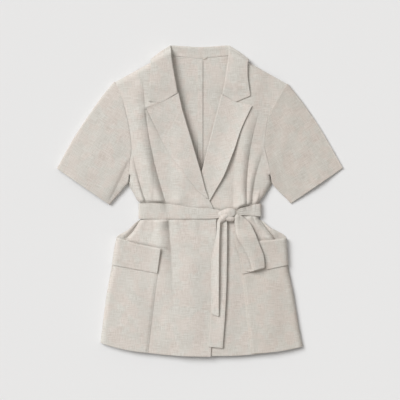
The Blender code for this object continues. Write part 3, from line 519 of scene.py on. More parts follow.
# Belt's band: its crown, the pleats that gather towards the knot, and the fuller run beyond it
BELT_ROWS, BELT_LENGTH, BELT_CROWN = 420, 580, 0.5
PLEATS_GROW_IN, PLEATS_END_X, KNOT_FADE = 45.0, 62.0, 6.0
PLEAT_RISE, PLEAT_WAVES, PLEAT_PHASE = 0.9, 4.6, 0.2
RUN_START_X, RUN_END_X, RUN_SINKS_IN, RUN_RISE = 70.0, 118.0, 30.0, 2.6
RUN_FOLD_FADES_IN, RUN_FOLD_RISE, RUN_FOLD_WAVES, RUN_FOLD_PHASE = 24.0, 0.8, 3.2, 0.3
# Tails: rise of the far edge, the height below which it has gone, and how fast it comes in
UNDER_RISE, UNDER_FLAT_Y, UNDER_RISES_IN = 2.6, -340.0, 120.0
UPPER_RISE, UPPER_FLAT_Y, UPPER_RISES_IN = 6.0, -300.0, 100.0
TAILS_GAP, UNDER_SEWN_Y, UPPER_SEWN_Y = 0.6, -60.0, -84.0
# Loop and lobes of the knot
LOOP_CROWN, LOOP_END_BULGE = 3.4, 1.6
LOBE_PLEAT_DEPTH, LOBE_TWIST = 0.05, 3.0

# Turned seam allowance down the inside of the centre back
ALLOWANCE_LEFT_X, ALLOWANCE_RIGHT_X = -4.5, 6.3
ALLOWANCE_TOP_Y, ALLOWANCE_END_Y = 323.0, -350.0
ALLOWANCE_WALL = 1.0
# Bar of thread at the seam's top. Columns as for the knot's lobes
NECK_TACK = (
    (5.4, 326.2, 3.9, 0.0, 0.0),
    (6.4, 325.9, 4.0, 0.6, 0.5),
    (10.0, 326.0, 4.2, 0.7, 0.6),
    (14.0, 328.0, 4.6, 0.7, 0.6),
    (17.8, 331.4, 4.9, 0.6, 0.5),
    (18.8, 332.2, 4.7, 0.0, 0.0),
)

# The photograph's frame: 2.3 mm for each of its 400 pixels, seen from straight above
FRAME_WIDTH = 0.92
FRAME_MIDDLE = (0.0003, 0.0017)
FRAME_LEVEL = 0.008
CAMERA_HEIGHT = 3.0


def lengths_along(points):
    """Length of the path from its first point to each of its points."""
    return np.concatenate([[0.0], np.cumsum(np.linalg.norm(np.diff(points, axis=0), axis=1))])


def cubic(t, step, first, first_slope, last, last_slope):
    """Cubic from first to last as t goes from 0 to 1, with the given slopes over one step."""
    return (
        (1 + 2 * t) * (1 - t) ** 2 * first
        + t * (1 - t) ** 2 * step * first_slope
        + t * t * (3 - 2 * t) * last
        + t * t * (t - 1) * step * last_slope
    )


def rows_at(table, shares, by_row=False):
    """Sample a smooth curve through the rows of a table, at shares of its length or of its rows.

    A cubic runs between each two rows. Its slope at a row is the harmonic mean of the slopes
    on both sides, or level at a turn, so that it never swings past a row.
    """
    rows = np.array(table, dtype=float)
    steps = np.linalg.norm(np.diff(rows, axis=0), axis=1)
    knots = lengths_along(rows)
    secants = np.diff(rows, axis=0) / steps[:, None]
    before, after = secants[:-1], secants[1:]
    same_way = before * after > 0
    total = np.where(same_way, before + after, 1.0)
    inner = np.where(same_way, 2 * before * after / total, 0.0)
    slopes = np.vstack([secants[:1], inner, secants[-1:]])
    at = np.asarray(shares) * knots[-1]
    if by_row:
        last = len(rows) - 1
        at = np.interp(np.asarray(shares) * last, np.arange(last + 1), knots)
    left = np.clip(np.searchsorted(knots, at, side="right") - 1, 0, len(rows) - 2)
    step = steps[left][:, None]
    t = (at - knots[left])[:, None] / step
    return cubic(t, step, rows[left], slopes[left], rows[left + 1], slopes[left + 1])


def rows_through(table, count):
    """Rows even along the curve's length."""
    return rows_at(table, np.linspace(0, 1, count))


def ease(t):
    """Rise smoothly from 0 to 1 as t goes from 0 to 1."""
    t = np.clip(t, 0.0, 1.0)
    return t * t * (3 - 2 * t)


def edge_roll(distance, radius):
    """Height of a rounded edge, 0 at the edge and 1 from the radius inwards."""
    near = np.clip(distance / radius, 0.0, 1.0)
    return np.sqrt(1 - (1 - near) ** 2)


def outline_x(table, y):
    """Half width of a side outline at height y, from rows whose first two columns are x, y."""
    rows = np.array(table, dtype=float)[::-1]
    return np.abs(np.interp(y, rows[:, 1], rows[:, 0]))


def under_belt(y):
    """1 where the belt passes under the back or over the fronts, 0 well away from it."""
    low = ease((y - BELT_BOTTOM + LIFT_MARGIN + LIFT_SLOPE) / LIFT_SLOPE)
    high = ease((BELT_TOP + LIFT_MARGIN + LIFT_SLOPE - y) / LIFT_SLOPE)
    return low * high


def collar_lift(x, y):
    """Lift of the layers over the collar's hidden leaf."""
    reach = LIFT_MARGIN + LIFT_SLOPE
    low = ease((y - LEAF_END_Y + reach) / LIFT_SLOPE)
    sides = ease((LEAF_HALF_WIDTH + reach - np.abs(x)) / LIFT_SLOPE)
    return BACK_OVER_COLLAR * low * sides


def back_level(x, y):
    """Middle of the back's wall, lifted over the belt and over the collar's hidden leaf."""
    return FLOOR_LEVEL + BACK_OVER_BELT * under_belt(y) + collar_lift(x, y)


def shoulder_distance(x, y):
    """Distance below the line of the shoulder seam."""
    line_y = SHOULDER_START[1] + SHOULDER_SLOPE * (np.abs(x) - SHOULDER_START[0])
    return (line_y - y) / np.hypot(1.0, SHOULDER_SLOPE)


def along_and_across(x, y, line):
    """Share of the way along a straight line, and distance to the left of it."""
    start_x, start_y, end_x, end_y = line
    run_x, run_y = end_x - start_x, end_y - start_y
    length = np.hypot(run_x, run_y)
    along = ((x - start_x) * run_x + (y - start_y) * run_y) / length**2
    across = ((y - start_y) * run_x - (x - start_x) * run_y) / length
    return along, across


def rolled_folds(x, y, table):
    """Sum of rolled folds.

    Measured along the crease, t runs from 0 to 1. Measured across it, the ridge rises from the
    crease to its crest, one roll width away, as a blend of a quarter ellipse and a quarter of
    a sine, and falls off as a bell of the soft width beyond. Rise and widths change evenly
    along the crease.
    """
    relief = np.zeros(np.broadcast(x, y).shape)
    for *line, bow, soft0, soft1, roll0, roll1, rise0, rise1 in table:
        t, across = along_and_across(x, y, line)
        inside = np.clip(t, 0.0, 1.0)
        across = -np.sign(line[3] - line[1]) * across - bow * 4 * inside * (1 - inside)
        roll = roll0 + (roll1 - roll0) * inside
        soft = soft0 + (soft1 - soft0) * inside
        rise = rise0 + (rise1 - rise0) * inside
        from_crease = -across / roll
        sine = np.sin(np.pi / 2 * np.clip(from_crease, 0.0, 1.0))
        curl = CURL_SHARE * edge_roll(from_crease, 1.0) + (1 - CURL_SHARE) * sine
        beyond = np.maximum(from_crease - 1, 0.0) * np.abs(roll) / soft
        ends = ease(t / FADE_IN + 0.5) * ease((1 + FOLD_OVERRUN - t) / FOLD_OVERRUN)
        relief = relief + rise * ends * curl * np.exp(-(beyond**2))
    return relief


def swells(x, y, table):
    """Sum of long soft bells, each fading out at both of its ends."""
    relief = np.zeros(np.broadcast(x, y).shape)
    for *line, half_width, rise in table:
        t, across = along_and_across(x, y, line)
        ends = ease(t / FADE_IN + 0.5) * ease((1 - t) / FADE_IN + 0.5)
        relief = relief + rise * ends * np.exp(-((across / half_width) ** 2))
    return relief


def back_creases(x, y):
    """Folds and soft swells of the backs, which lie on the floor."""
    return rolled_folds(x, y, BACK_FOLDS) + swells(x, y, BACK_SWELLS)


def ripple(x, y):
    """Faint unevenness of laid cloth: five slow waves in different directions, added up."""
    relief = np.zeros(np.broadcast(x, y).shape)
    for wave_x, wave_y, phase, height in RIPPLES:
        relief = relief + height * np.sin(2 * np.pi * (x / wave_x + y / wave_y) + phase)
    return relief


def belt_edges(x):
    """Upper and lower edge of the belt where it lies over the fronts."""
    over = np.array([row for row in BELT if row[3] == 0.0])
    over = over[np.argsort(over[:, 0])]
    return np.interp(x, over[:, 0], over[:, 1]), np.interp(x, over[:, 0], over[:, 2])


def belt_cover(x, y):
    """1 where the belt presses the fronts flat, 0 from a few millimetres outside its edges."""
    top, bottom = belt_edges(x)
    above, below = PRESS_BEYOND
    return ease((top - y) / PRESS_SLOPE + above) * ease((y - bottom) / PRESS_SLOPE + below)


def belt_bulge(x, y):
    """Swelling of the cloth along the belt's upper edge: steep at the belt, soft above."""
    above = y - belt_edges(x)[0] - BULGE_GAP
    uneven = 1 + sum(height * np.sin(x / wave + phase) for wave, phase, height in BULGE_WAVES)
    soft = np.exp(-((np.maximum(above - BULGE_ROLL, 0.0) / BULGE_SOFT) ** 2))
    return BULGE_RISE * uneven * edge_roll(above, BULGE_ROLL) * soft


def body_dome(x):
    """Fullness of the body, a parabola across its width."""
    return BODY_DOME * np.clip(1 - (x / DOME_HALF_WIDTH) ** 2, 0.0, 1.0)


def body_puff(x, y, side):
    """Height of a front above the back's edge: rolled at side and shoulder, pressed by the belt."""
    side_distance = np.where(y < ARMPIT_Y, outline_x(side, y) - np.abs(x), SIDE_ROLL)
    edges = edge_roll(side_distance, SIDE_ROLL) * edge_roll(shoulder_distance(x, y), SIDE_ROLL)
    height = (BODY_PUFF + body_dome(x)) * (1 - PRESSED_PUFF_LOSS * under_belt(y))
    creased = rolled_folds(x, y, FRONT_FOLDS) + swells(x, y, FRONT_SWELLS) + ripple(x, y)
    creased = creased * bpy.context.scene.jacket_cloth.fold_depth
    height = height + creased * (1 - FOLD_PRESSING * belt_cover(x, y)) + belt_bulge(x, y)
    return np.maximum(height, LEAST_PUFF) * edges


def front_level(x, y, side):
    """Middle of a front's wall, on the back's."""
    return back_level(x, y) + LAYER_STEP + body_puff(x, y, side)


def lap_lift(x, y):
    """Extra height of the right front where it laps over the left front and its lapel."""
    over_lapel = ease(y / UNDER_LAPEL_BREAK_RISE_Y + 0.5)
    over_lapel = over_lapel * ease((UNDER_LAPEL_TOP_Y - y) / UNDER_LAPEL_RISE_Y)
    lap = LAP_LIFT + LAPEL_UNDER_LAP * over_lapel
    return lap * ease((x - LAP_START_X) / LAP_RISE_X) * ease((LAP_TOP_Y - y) / LAP_RISE_Y)


def right_front_level(x, y):
    """Height of the right front, lifted where it laps over the left."""
    return front_level(x, y, RIGHT_FRONT) + lap_lift(x, y)


def left_front_level(x, y):
    """Height of the left front."""
    return front_level(x, y, LEFT_FRONT)


def carrier_level(x, y):
    """What the belt and its tails lie on: the lap, easing down past the front edge."""
    on_lap = ease((CARRIER_END_X - x) / CARRIER_RISE_X)
    return front_level(x, y, RIGHT_FRONT) + lap_lift(x, y) * on_lap


def roll_x(table, y):
    """Where the roll line lies at height y."""
    rows = np.array(table, dtype=float)
    return np.interp(y, rows[:, 1], rows[:, 0])


def roll_radius(y):
    """Radius of the lapels' roll, which flattens towards the break."""
    full = ease((y - ROLL_FULL_Y) / ROLL_FLATTENS_IN + 1.0)
    return ROLL_AT_BREAK + (ROLL_AT_COLLAR - ROLL_AT_BREAK) * full


def across_two(rows, columns, crowd=1.0):
    """Fill each row between its first and last point, closer together at the first."""
    share = (np.linspace(0, 1, columns) ** crowd)[None, :]
    x = rows[:, 0:1] * (1 - share) + rows[:, 2:3] * share
    y = rows[:, 1:2] * (1 - share) + rows[:, 3:4] * share
    return x, y


def panel_to_hem(rows, columns, crowd, hem_bow):
    """A panel whose lower rows bow down more and more, to the full bow at the hem."""
    x, y = across_two(rows, columns, crowd)
    share = (np.linspace(0, 1, columns) ** crowd)[None, :]
    down = (rows[0, 3] - rows[:, 3:4]) / (rows[0, 3] - rows[-1, 3])
    return x, y - hem_bow * np.sin(np.pi * share) * ease((down - 0.5) / 0.5)


def across_three(rows, columns):
    """Fill each row from its first through its middle to its last point, on a smooth curve."""
    first, middle, last = (rows[:, k : k + 2] for k in (0, 2, 4))
    points = np.stack([first, middle, last], axis=1)
    fine = resample(points, columns)
    return fine[..., 0], fine[..., 1]


def resample(points, count):
    """Carry every row of a grid on a smooth curve through its columns.

    The curve is a cubic between neighbouring columns whose slope at a column is that of the
    chord between its two neighbours, over the mean spacing of the whole grid.
    """
    chords = np.linalg.norm(np.diff(points, axis=1), axis=2).mean(axis=0)
    knots = np.concatenate([[0.0], np.cumsum(chords)])
    at = knots[-1] * np.linspace(0, 1, count)
    left = np.clip(np.searchsorted(knots, at, side="right") - 1, 0, len(chords) - 1)
    slopes = np.gradient(points, knots, axis=1)
    step = chords[left][None, :, None]
    t = (at - knots[left])[None, :, None] / step
    ends = points[:, left], slopes[:, left], points[:, left + 1], slopes[:, left + 1]
    return cubic(t, step, *ends)


def straight_through(points, count):
    """Fill each row straight from its first through its middle to its last point in the plane.

    The height follows the parabola through the three.
    """
    share = np.linspace(0, 1, count)[None, :, None]
    first, middle, last = (points[:, k : k + 1] for k in range(3))
    flat = np.where(share < 0.5, first + (middle - first) * 2 * share, middle)
    flat = flat + np.where(share < 0.5, 0.0, (last - middle) * (2 * share - 1))
    bend = (
        first * (1 - share) * (1 - 2 * share)
        + middle * 4 * share * (1 - share)
        + last * share * (2 * share - 1)
    )
    return np.concatenate([flat[..., :2], bend[..., 2:]], axis=-1)


def points_of(x, y, z):
    """Points from x, y and z of shapes that broadcast together."""
    return np.stack(np.broadcast_arrays(x, y, z), axis=-1)


def unit(vectors):
    """Vectors brought to length 1."""
    return vectors / np.maximum(np.linalg.norm(vectors, axis=-1, keepdims=True), 1e-9)


def slopes_of(points, ring):
    """Unit directions along the columns and down the rows, and the normal, at every point."""
    if ring:
        along = np.roll(points, -1, axis=1) - np.roll(points, 1, axis=1)
    else:
        along = np.gradient(points, axis=1)
    down = np.gradient(points, axis=0)
    return unit(along), unit(down), unit(np.cross(along, down))


def grid_quads(index, ring):
    """Quads of a grid of vertex numbers. A ring's last column joins its first."""
    wide = np.hstack([index, index[:, :1]]) if ring else index
    corners = [wide[:-1, :-1], wide[:-1, 1:], wide[1:, 1:], wide[1:, :-1]]
    return np.stack(corners, axis=-1).reshape(-1, 4)


def loop_quads(first, second):
    """Quads between two loops of vertex numbers of the same length, each loop closed."""
    return np.stack([np.roll(first, -1), first, second, np.roll(second, -1)], axis=-1)


def cloth_shell(points, wall, ring):
    """Close a grid of points to a wall of cloth with rounded edges.

    Both faces lie half a wall from the grid along its normal. Round the border, rings of
    points turn on a half circle of the wall's radius from the upper face to the lower one.
    """
    rows, columns = points.shape[:2]
    along, down, normal = slopes_of(points, ring)
    half = normal * wall / 2
    count = rows * columns
    index = np.arange(count).reshape(rows, columns)
    layers = [(points + half).reshape(-1, 3), (points - half).reshape(-1, 3)]
    sources = [index.ravel(), index.ravel()]
    if ring:
        loops = [(index[0], -down[0]), (index[-1, ::-1], down[-1, ::-1])]
    else:
        outward = np.zeros_like(points)
        outward[0] -= down[0]
        outward[-1] += down[-1]
        outward[:, 0] -= along[:, 0]
        outward[:, -1] += along[:, -1]
        border = np.concatenate(
            [index[0, :-1], index[:-1, -1], index[-1, :0:-1], index[:0:-1, 0]]
        )
        loops = [(border, unit(outward.reshape(-1, 3)[border]))]
    top = grid_quads(index, ring)
    faces = [top, top[:, ::-1] + count]
    used = 2 * count
    flat_points, flat_normal = points.reshape(-1, 3), normal.reshape(-1, 3)
    for loop, outward in loops:
        before = loop
        for turn in np.linspace(np.pi / 2, -np.pi / 2, EDGE_STEPS + 2)[1:-1]:
            way = np.cos(turn) * outward + np.sin(turn) * flat_normal[loop]
            layers.append(flat_points[loop] + way * wall / 2)
            sources.append(loop)
            now = np.arange(used, used + len(loop))
            faces.append(loop_quads(before, now))
            before = now
            used += len(loop)
        faces.append(loop_quads(before, loop + count))
    return np.concatenate(layers), np.concatenate(faces), np.concatenate(sources)


def outward_faces(vertices, faces):
    """Turn all faces of a closed shell round if the volume that they enclose is negative."""
    a, b, c, d = (vertices[faces[:, k]] for k in range(4))
    volume = np.sum(a * np.cross(b, c)) + np.sum(a * np.cross(c, d))
    return faces if volume > 0 else faces[:, ::-1]


def mesh_object(name, vertices, faces, grain, material):
    """Put arrays into a mesh: vertices in mm, quads, and a grain map in metres of cloth."""
    faces = outward_faces(vertices, faces)
    mesh = bpy.data.meshes.new(name)
    mesh.vertices.add(len(vertices))
    mesh.vertices.foreach_set("co", (vertices * MM).astype(np.float32).ravel())
    mesh.loops.add(faces.size)
    mesh.loops.foreach_set("vertex_index", faces.astype(np.int32).ravel())
    mesh.polygons.add(len(faces))
    mesh.polygons.foreach_set("loop_start", np.arange(0, faces.size, 4, dtype=np.int32))
    layer = mesh.uv_layers.new(name="Grain")
    layer.data.foreach_set("uv", (grain[faces.ravel()] * MM).astype(np.float32).ravel())
    mesh.update(calc_edges=True)
    mesh.validate()
    mesh.shade_smooth()
    mesh.materials.append(material)
    piece = bpy.data.objects.new(name, mesh)
    bpy.context.scene.collection.objects.link(piece)
    return piece


def dress(name, node, points, wall, grain=None, ring=False):
    vertices, faces, source = cloth_shell(points, wall, ring)
    grain = points[..., :2] if grain is None else grain
    material = cloth_material(name, list(CUTS).index(node))
    piece = mesh_object(name, vertices, faces, grain.reshape(-1, 2)[source], material)
    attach(piece, "root")
    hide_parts(node)
    return piece


def turned(x, y, degrees):
    """Grain of a piece that is cut at an angle: its place in the plane, turned."""
    angle = np.radians(degrees)
    return np.stack(
        [x * np.cos(angle) + y * np.sin(angle), y * np.cos(angle) - x * np.sin(angle)], axis=-1
    )


# Materials


class Value:
    """A node socket that adds Math nodes as it is reckoned with."""

    def __init__(self, tree, socket):
        self.tree = tree
        self.socket = socket

    def _math(self, operation, *others):
        node = self.tree.nodes.new("ShaderNodeMath")
        node.operation = operation
        for slot, value in zip(node.inputs, others):
            if isinstance(value, Value):
                self.tree.links.new(value.socket, slot)
            else:
                slot.default_value = value
        return Value(self.tree, node.outputs[0])

    def __add__(self, other):
        return self._math("ADD", self, other)

    def __mul__(self, other):
        return self._math("MULTIPLY", self, other)

    def __sub__(self, other):
        return self._math("SUBTRACT", self, other)

    def __rsub__(self, other):
        return self._math("SUBTRACT", other, self)

    __radd__ = __add__
    __rmul__ = __mul__

    def sin(self):
        return self._math("SINE", self)

    def between(self, low, high):
        """0 below low, 1 above high, smooth in between."""
        node = self.tree.nodes.new("ShaderNodeMapRange")
        node.interpolation_type = "SMOOTHSTEP"
        node.inputs["From Min"].default_value = low
        node.inputs["From Max"].default_value = high
        self.tree.links.new(self.socket, node.inputs["Value"])
        return Value(self.tree, node.outputs["Result"])


class Nodes:
    """Adds nodes to one material."""

    def __init__(self, name):
        self.material = bpy.data.materials.new(name)
        self.material.use_nodes = True
        self.tree = self.material.node_tree
        self.shader = self.tree.nodes["Principled BSDF"]

    def add(self, kind, settings=None, **sockets):
        """One node: its settings first, then the values or links of its sockets."""
        node = self.tree.nodes.new(kind)
        for key, value in (settings or {}).items():
            setattr(node, key, value)
        for key, value in sockets.items():
            self.plug(node.inputs[key.replace("_", " ")], value)
        return node

    def plug(self, slot, value):
        """Link a value or socket to the slot, or set the slot's own value."""
        if isinstance(value, Value):
            value = value.socket
        if isinstance(value, bpy.types.NodeSocket):
            self.tree.links.new(value, slot)
        else:
            slot.default_value = value

    def noise(self, across, along, detail=2.0, roughness=0.5):
        """Noise over two lengths, as a value about 0.5."""
        place = self.add("ShaderNodeCombineXYZ", X=across, Y=along)
        node = self.add(
            "ShaderNodeTexNoise",
            {"noise_dimensions": "2D"},
            Vector=place.outputs[0],
            Scale=1.0,
            Detail=detail,
            Roughness=roughness,
        )
        return Value(self.tree, node.outputs["Fac"])

    def mix(self, factor, first, second):
        """Blend of two colours."""
        node = self.add("ShaderNodeMix", {"data_type": "RGBA"})
        self.plug(node.inputs["Factor"], factor)
        for slot, value in ((node.inputs[6], first), (node.inputs[7], second)):
            self.plug(slot, (*value, 1.0) if isinstance(value, tuple) and len(value) == 3 else value)
        return node.outputs[2]


def cloth_material(name, tone):
    """Linen-look plain weave of mixed yarns, read from the piece's grain map.

    u and v are millimetres of cloth. Warp yarns are noise drawn out along v, weft yarns noise
    drawn out along u; their sum picks between a light, a middle and a dark yarn. Broad noise
    shifts the hue in soft patches. The bump is a plain weave, sin u times sin v, on the yarns.
    """
    settings = bpy.context.scene.jacket_cloth
    nodes = Nodes("cloth_" + name)
    grain = nodes.add("ShaderNodeUVMap", {"uv_map": "Grain"})
    split = nodes.add("ShaderNodeSeparateXYZ", Vector=grain.outputs[0])
    u = Value(nodes.tree, split.outputs["X"]) * 1000.0 + 400.0 + 37.0 * tone
    v = Value(nodes.tree, split.outputs["Y"]) * 1000.0 + 900.0 - 53.0 * tone
    fine_warp = nodes.noise(u * 2.1, v * 0.10)
    fine_weft = nodes.noise(u * 0.10 + 31.0, v * 2.1 + 17.0)
    slub_warp = nodes.noise(u * 0.72 + 7.0, v * 0.05 + 3.0, 1.0)
    slub_weft = nodes.noise(u * 0.045 + 11.0, v * 0.68 + 5.0, 1.0)
    fleck = nodes.noise(u * 0.9 + 50.0, v * 0.9, 3.0, 0.7)
    patch = nodes.noise(u * 0.021 + 2.0, v * 0.024 + 9.0, 2.0)
    warmth = nodes.noise(u * 0.034 + 19.0, v * 0.03 + 4.0, 2.0)
    yarns = (
        (fine_warp - 0.5) * 0.7
        + (fine_weft - 0.5) * 0.7
        + (slub_warp - 0.5) * 0.7
        + (slub_weft - 0.5) * 0.85
        + (fleck - 0.5) * 0.9
    )
    contrast = settings.yarn_contrast
    light = (yarns * (1.65 * contrast) + 0.5).between(0.0, 1.0)
    colour = nodes.mix(light, tuple(settings.dark_yarn), tuple(settings.light_yarn))
    cool = nodes.mix(light, tuple(settings.dark_yarn_cool), tuple(settings.light_yarn_cool))
    colour = nodes.mix(warmth.between(0.38, 0.62), colour, cool)
    shade = nodes.mix(patch.between(0.3, 0.7) * 0.35, colour, tuple(settings.patch_colour))
    # Painted shade: listed pieces are mixed towards a dark brown so that they look more shaded than
    # the rest of the cloth
    if name in PAINTED_SHADE:
        shade = nodes.mix(PAINTED_SHADE[name], shade, tuple(settings.painted_shade_colour))
    nodes.plug(nodes.shader.inputs["Base Color"], shade)
    roughness = 0.86 + (fleck - 0.5) * 0.18
    nodes.plug(nodes.shader.inputs["Roughness"], roughness)
    turn = 2 * np.pi / settings.yarn_pitch
    weave = (u * turn).sin() * (v * turn).sin() * 0.35
    relief = weave + (fine_warp - 0.5) * 0.6 + (fine_weft - 0.5) * 0.6 + (slub_weft - 0.5) * 0.5
    bump = nodes.add("ShaderNodeBump", Strength=0.45, Distance=0.0004, Height=relief)
    nodes.plug(nodes.shader.inputs["Normal"], bump.outputs[0])
    nodes.shader.inputs["Sheen Weight"].default_value = 0.12
    nodes.shader.inputs["Sheen Roughness"].default_value = 0.45
    nodes.shader.inputs["Specular IOR Level"].default_value = 0.25
    return nodes.material


def thread_material():
    """Plain sewing thread: a fine twist, sin of the length along and round it, in the bump."""
    nodes = Nodes("thread")
    place = nodes.add("ShaderNodeTexCoord")
    split = nodes.add("ShaderNodeSeparateXYZ", Vector=place.outputs["Object"])
    along = Value(nodes.tree, split.outputs["X"]) + Value(nodes.tree, split.outputs["Y"])
    twist = (along * (2000.0 * np.pi / THREAD_TWIST)).sin()
    bump = nodes.add("ShaderNodeBump", Strength=0.3, Distance=0.0001, Height=twist)
    nodes.plug(nodes.shader.inputs["Normal"], bump.outputs[0])
    colour = (*bpy.context.scene.jacket_cloth.thread_colour, 1.0)
    nodes.plug(nodes.shader.inputs["Base Color"], colour)
    nodes.plug(nodes.shader.inputs["Roughness"], 0.6)
    return nodes.material


def stitches(name, lines):
    """Short capsules of thread along lines of points, one at every pitch of each line's length.

    A capsule is four rings of six points, at -1, -0.7, 0.7 and 1 half lengths, the end rings
    smaller and lower, closed with two quads at each end.
    """
    settings = bpy.context.scene.jacket_cloth
    centres, ways = [], []
    for line in lines:
        length = np.concatenate([[0.0], np.cumsum(np.linalg.norm(np.diff(line, axis=0), axis=1))])
        at = np.arange(settings.stitch_pitch / 2, length[-1], settings.stitch_pitch)
        centres.append(np.stack([np.interp(at, length, line[:, k]) for k in range(3)], axis=-1))
        slope = np.gradient(line, length, axis=0)
        ways.append(np.stack([np.interp(at, length, slope[:, k]) for k in range(3)], axis=-1))
    centre, way = np.concatenate(centres), unit(np.concatenate(ways))
    side = unit(np.stack([-way[:, 1], way[:, 0], 0 * way[:, 0]], axis=-1))
    up = np.cross(way, side)
    place = np.array([-1.0, -0.7, 0.7, 1.0])[None, :, None, None] * settings.stitch_length / 2
    radius = np.array([0.45, 1.0, 1.0, 0.45])[None, :, None, None] * THREAD_RADIUS
    sink = np.array([-1.2, 0.0, 0.0, -1.2])[None, :, None, None] * THREAD_RADIUS
    angle = (2 * np.pi * np.arange(6) / 6)[None, None, :, None]
    way, side, up, centre = (vectors[:, None, None, :] for vectors in (way, side, up, centre))
    rings = centre + way * place + side * radius * np.cos(angle) + up * (radius * np.sin(angle) + sink)
    index = np.arange(24).reshape(4, 6)
    wide = np.hstack([index, index[:, :1]])
    wall = np.stack([wide[:-1, :-1], wide[:-1, 1:], wide[1:, 1:], wide[1:, :-1]], axis=-1)
    first, last = index[0], index[-1]
    caps = np.array([first[[3, 2, 1, 0]], first[[0, 5, 4, 3]], last[[0, 1, 2, 3]], last[[3, 4, 5, 0]]])
    one = np.concatenate([wall.reshape(-1, 4), caps])
    faces = (one[None] + 24 * np.arange(len(rings))[:, None, None]).reshape(-1, 4)
    vertices = rings.reshape(-1, 3)
    piece = mesh_object(name, vertices, faces, vertices[:, :2], thread_material())
    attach(piece, "root")


# Painted shade: how far each listed piece is darkened towards the painted shade colour, standing in
# for the light falling off across the left side of the jacket and on the loop
PAINTED_SHADE = {
    "left_front_cloth": 0.03,
    "left_sleeve_cloth": 0.085,
    "left_pocket_cloth": 0.08,
    "left_pocket_cuff_cloth": 0.06,
    "belt_loop_cloth": 0.07,
}

# Cut of each piece as it shows: width, length and area, in metres and square metres
CUTS = {
    "right_front": (0.28, 0.70, 0.127),
    "left_front": (0.28, 0.70, 0.123),
    "right_back": (0.24, 0.69, 0.128),
    "left_back": (0.24, 0.69, 0.119),
    "centre_back_seam": (0.0125, 0.675, 0.0083),
    "collar": (0.10, 0.50, 0.0325),
    "right_lapel": (0.09, 0.28, 0.0133),
    "left_lapel": (0.09, 0.28, 0.0145),
    "right_sleeve": (0.47, 0.24, 0.057),
    "left_sleeve": (0.47, 0.24, 0.058),
    "right_pocket": (0.12, 0.26, 0.0281),
    "left_pocket": (0.125, 0.262, 0.0302),
    "right_pocket_cuff": (0.116, 0.066, 0.0072),
    "left_pocket_cuff": (0.124, 0.073, 0.0085),
    "belt": (0.034, 0.58, 0.0178),
    "belt_knot": (0.034, 0.06, 0.0019),
    "belt_loop": (0.036, 0.29, 0.0104),
    "belt_tail_upper": (0.034, 0.215, 0.0038),
    "belt_tail_under": (0.034, 0.30, 0.0088),
}


def backs():
    """Two back panels on the floor, and the turned allowance of the centre seam."""
    for name, table, sign in (("right_back", RIGHT_BACK, -1), ("left_back", LEFT_BACK, 1)):
        rows = rows_through(table, 170)
        rows[:, 2] += sign * SEAM_GAP / 2
        x, y = panel_to_hem(rows, 60, 1.0, BACK_HEM_BOW)
        z = back_level(x, y) + back_creases(x, y)
        dress(name + "_cloth", name, points_of(x, y, z), CLOTH)
    y = np.linspace(ALLOWANCE_TOP_Y, ALLOWANCE_END_Y, 240)[:, None]
    x = np.linspace(ALLOWANCE_LEFT_X, ALLOWANCE_RIGHT_X, 8)[None, :]
    z = back_level(x, y) + (CLOTH + ALLOWANCE_WALL) / 2 + 2 * SEAM_GAP
    points = points_of(x, y, z)
    dress("centre_back_cloth", "centre_back_seam", points, ALLOWANCE_WALL)


def fronts():
    """The left front, and the right front that laps over it, each up to its roll line."""
    for name, table, roll, sign, level in (
        ("right_front", RIGHT_FRONT, RIGHT_ROLL, -1, right_front_level),
        ("left_front", LEFT_FRONT, LEFT_ROLL, 1, left_front_level),
    ):
        rows = rows_through(table, 250)
        edge_y = rows[:, 3]
        beside_roll = roll_x(roll, edge_y) + sign * (roll_radius(edge_y) * 1.05 + 2 * SEAM_GAP)
        rolled = ease((edge_y - ROLL_START_Y) / ROLL_START_RISE)
        rolled = rolled * ease((ROLL_END_Y - edge_y) / ROLL_END_RISE)
        rows[:, 2] += (beside_roll - rows[:, 2]) * rolled
        x, y = panel_to_hem(rows, 150, 1.0, FRONT_HEM_BOW)
        dress(name + "_cloth", name, points_of(x, y, level(x, y)), CLOTH)


def lapels():
    """Each lapel turns over a roll along the front's edge and lies back on the front."""
    for name, table, line, level, slant, lift, lift_y in (
        ("right_lapel", RIGHT_LAPEL, RIGHT_ROLL, right_front_level, -16.0, 2.2, 200.0),
        ("left_lapel", LEFT_LAPEL, LEFT_ROLL, left_front_level, 16.0, 5.4, 88.0),
    ):
        rows = rows_through(table, 130)
        fold_y = rows[:, 0:1]
        fold = np.hstack([roll_x(line, fold_y), fold_y])
        outward = unit(rows[:, 1:3] - fold)
        radius = roll_radius(fold_y)
        centre = fold + outward * radius
        base = level(centre[:, 0:1], centre[:, 1:2])
        turn = np.radians(np.linspace(-90.0, 80.0, 14))[None, :]
        roll_points = points_of(
            centre[:, 0:1] - outward[:, 0:1] * radius * np.cos(turn),
            centre[:, 1:2] - outward[:, 1:2] * radius * np.cos(turn),
            base + radius * (1 + np.sin(turn)),
        )
        leaf = np.hstack([centre, rows[:, 1:]]).reshape(-1, 3, 2)
        leaf = np.concatenate([leaf, np.zeros_like(leaf[..., :1])], axis=-1)
        x, y = np.moveaxis(straight_through(leaf, 60)[..., :2], -1, 0)
        away = np.hypot(x - centre[:, 0:1], y - centre[:, 1:2])
        rolled = (2 * radius - LEAF_REST) * np.exp(-away / ROLL_REST_LENGTH)
        share = away / away[:, -1:]
        standing = lift * share**3 * (0.35 + np.exp(-(((rows[:, 4:5] - lift_y) / 52.0) ** 2)))
        z = level(x, y) + LEAF_REST + rolled + standing
        points = np.concatenate([roll_points, points_of(x, y, z)], axis=1)
        grain = turned(points[..., 0], points[..., 1], slant)
        dress(name + "_cloth", name, points, TWO_PLY, grain)


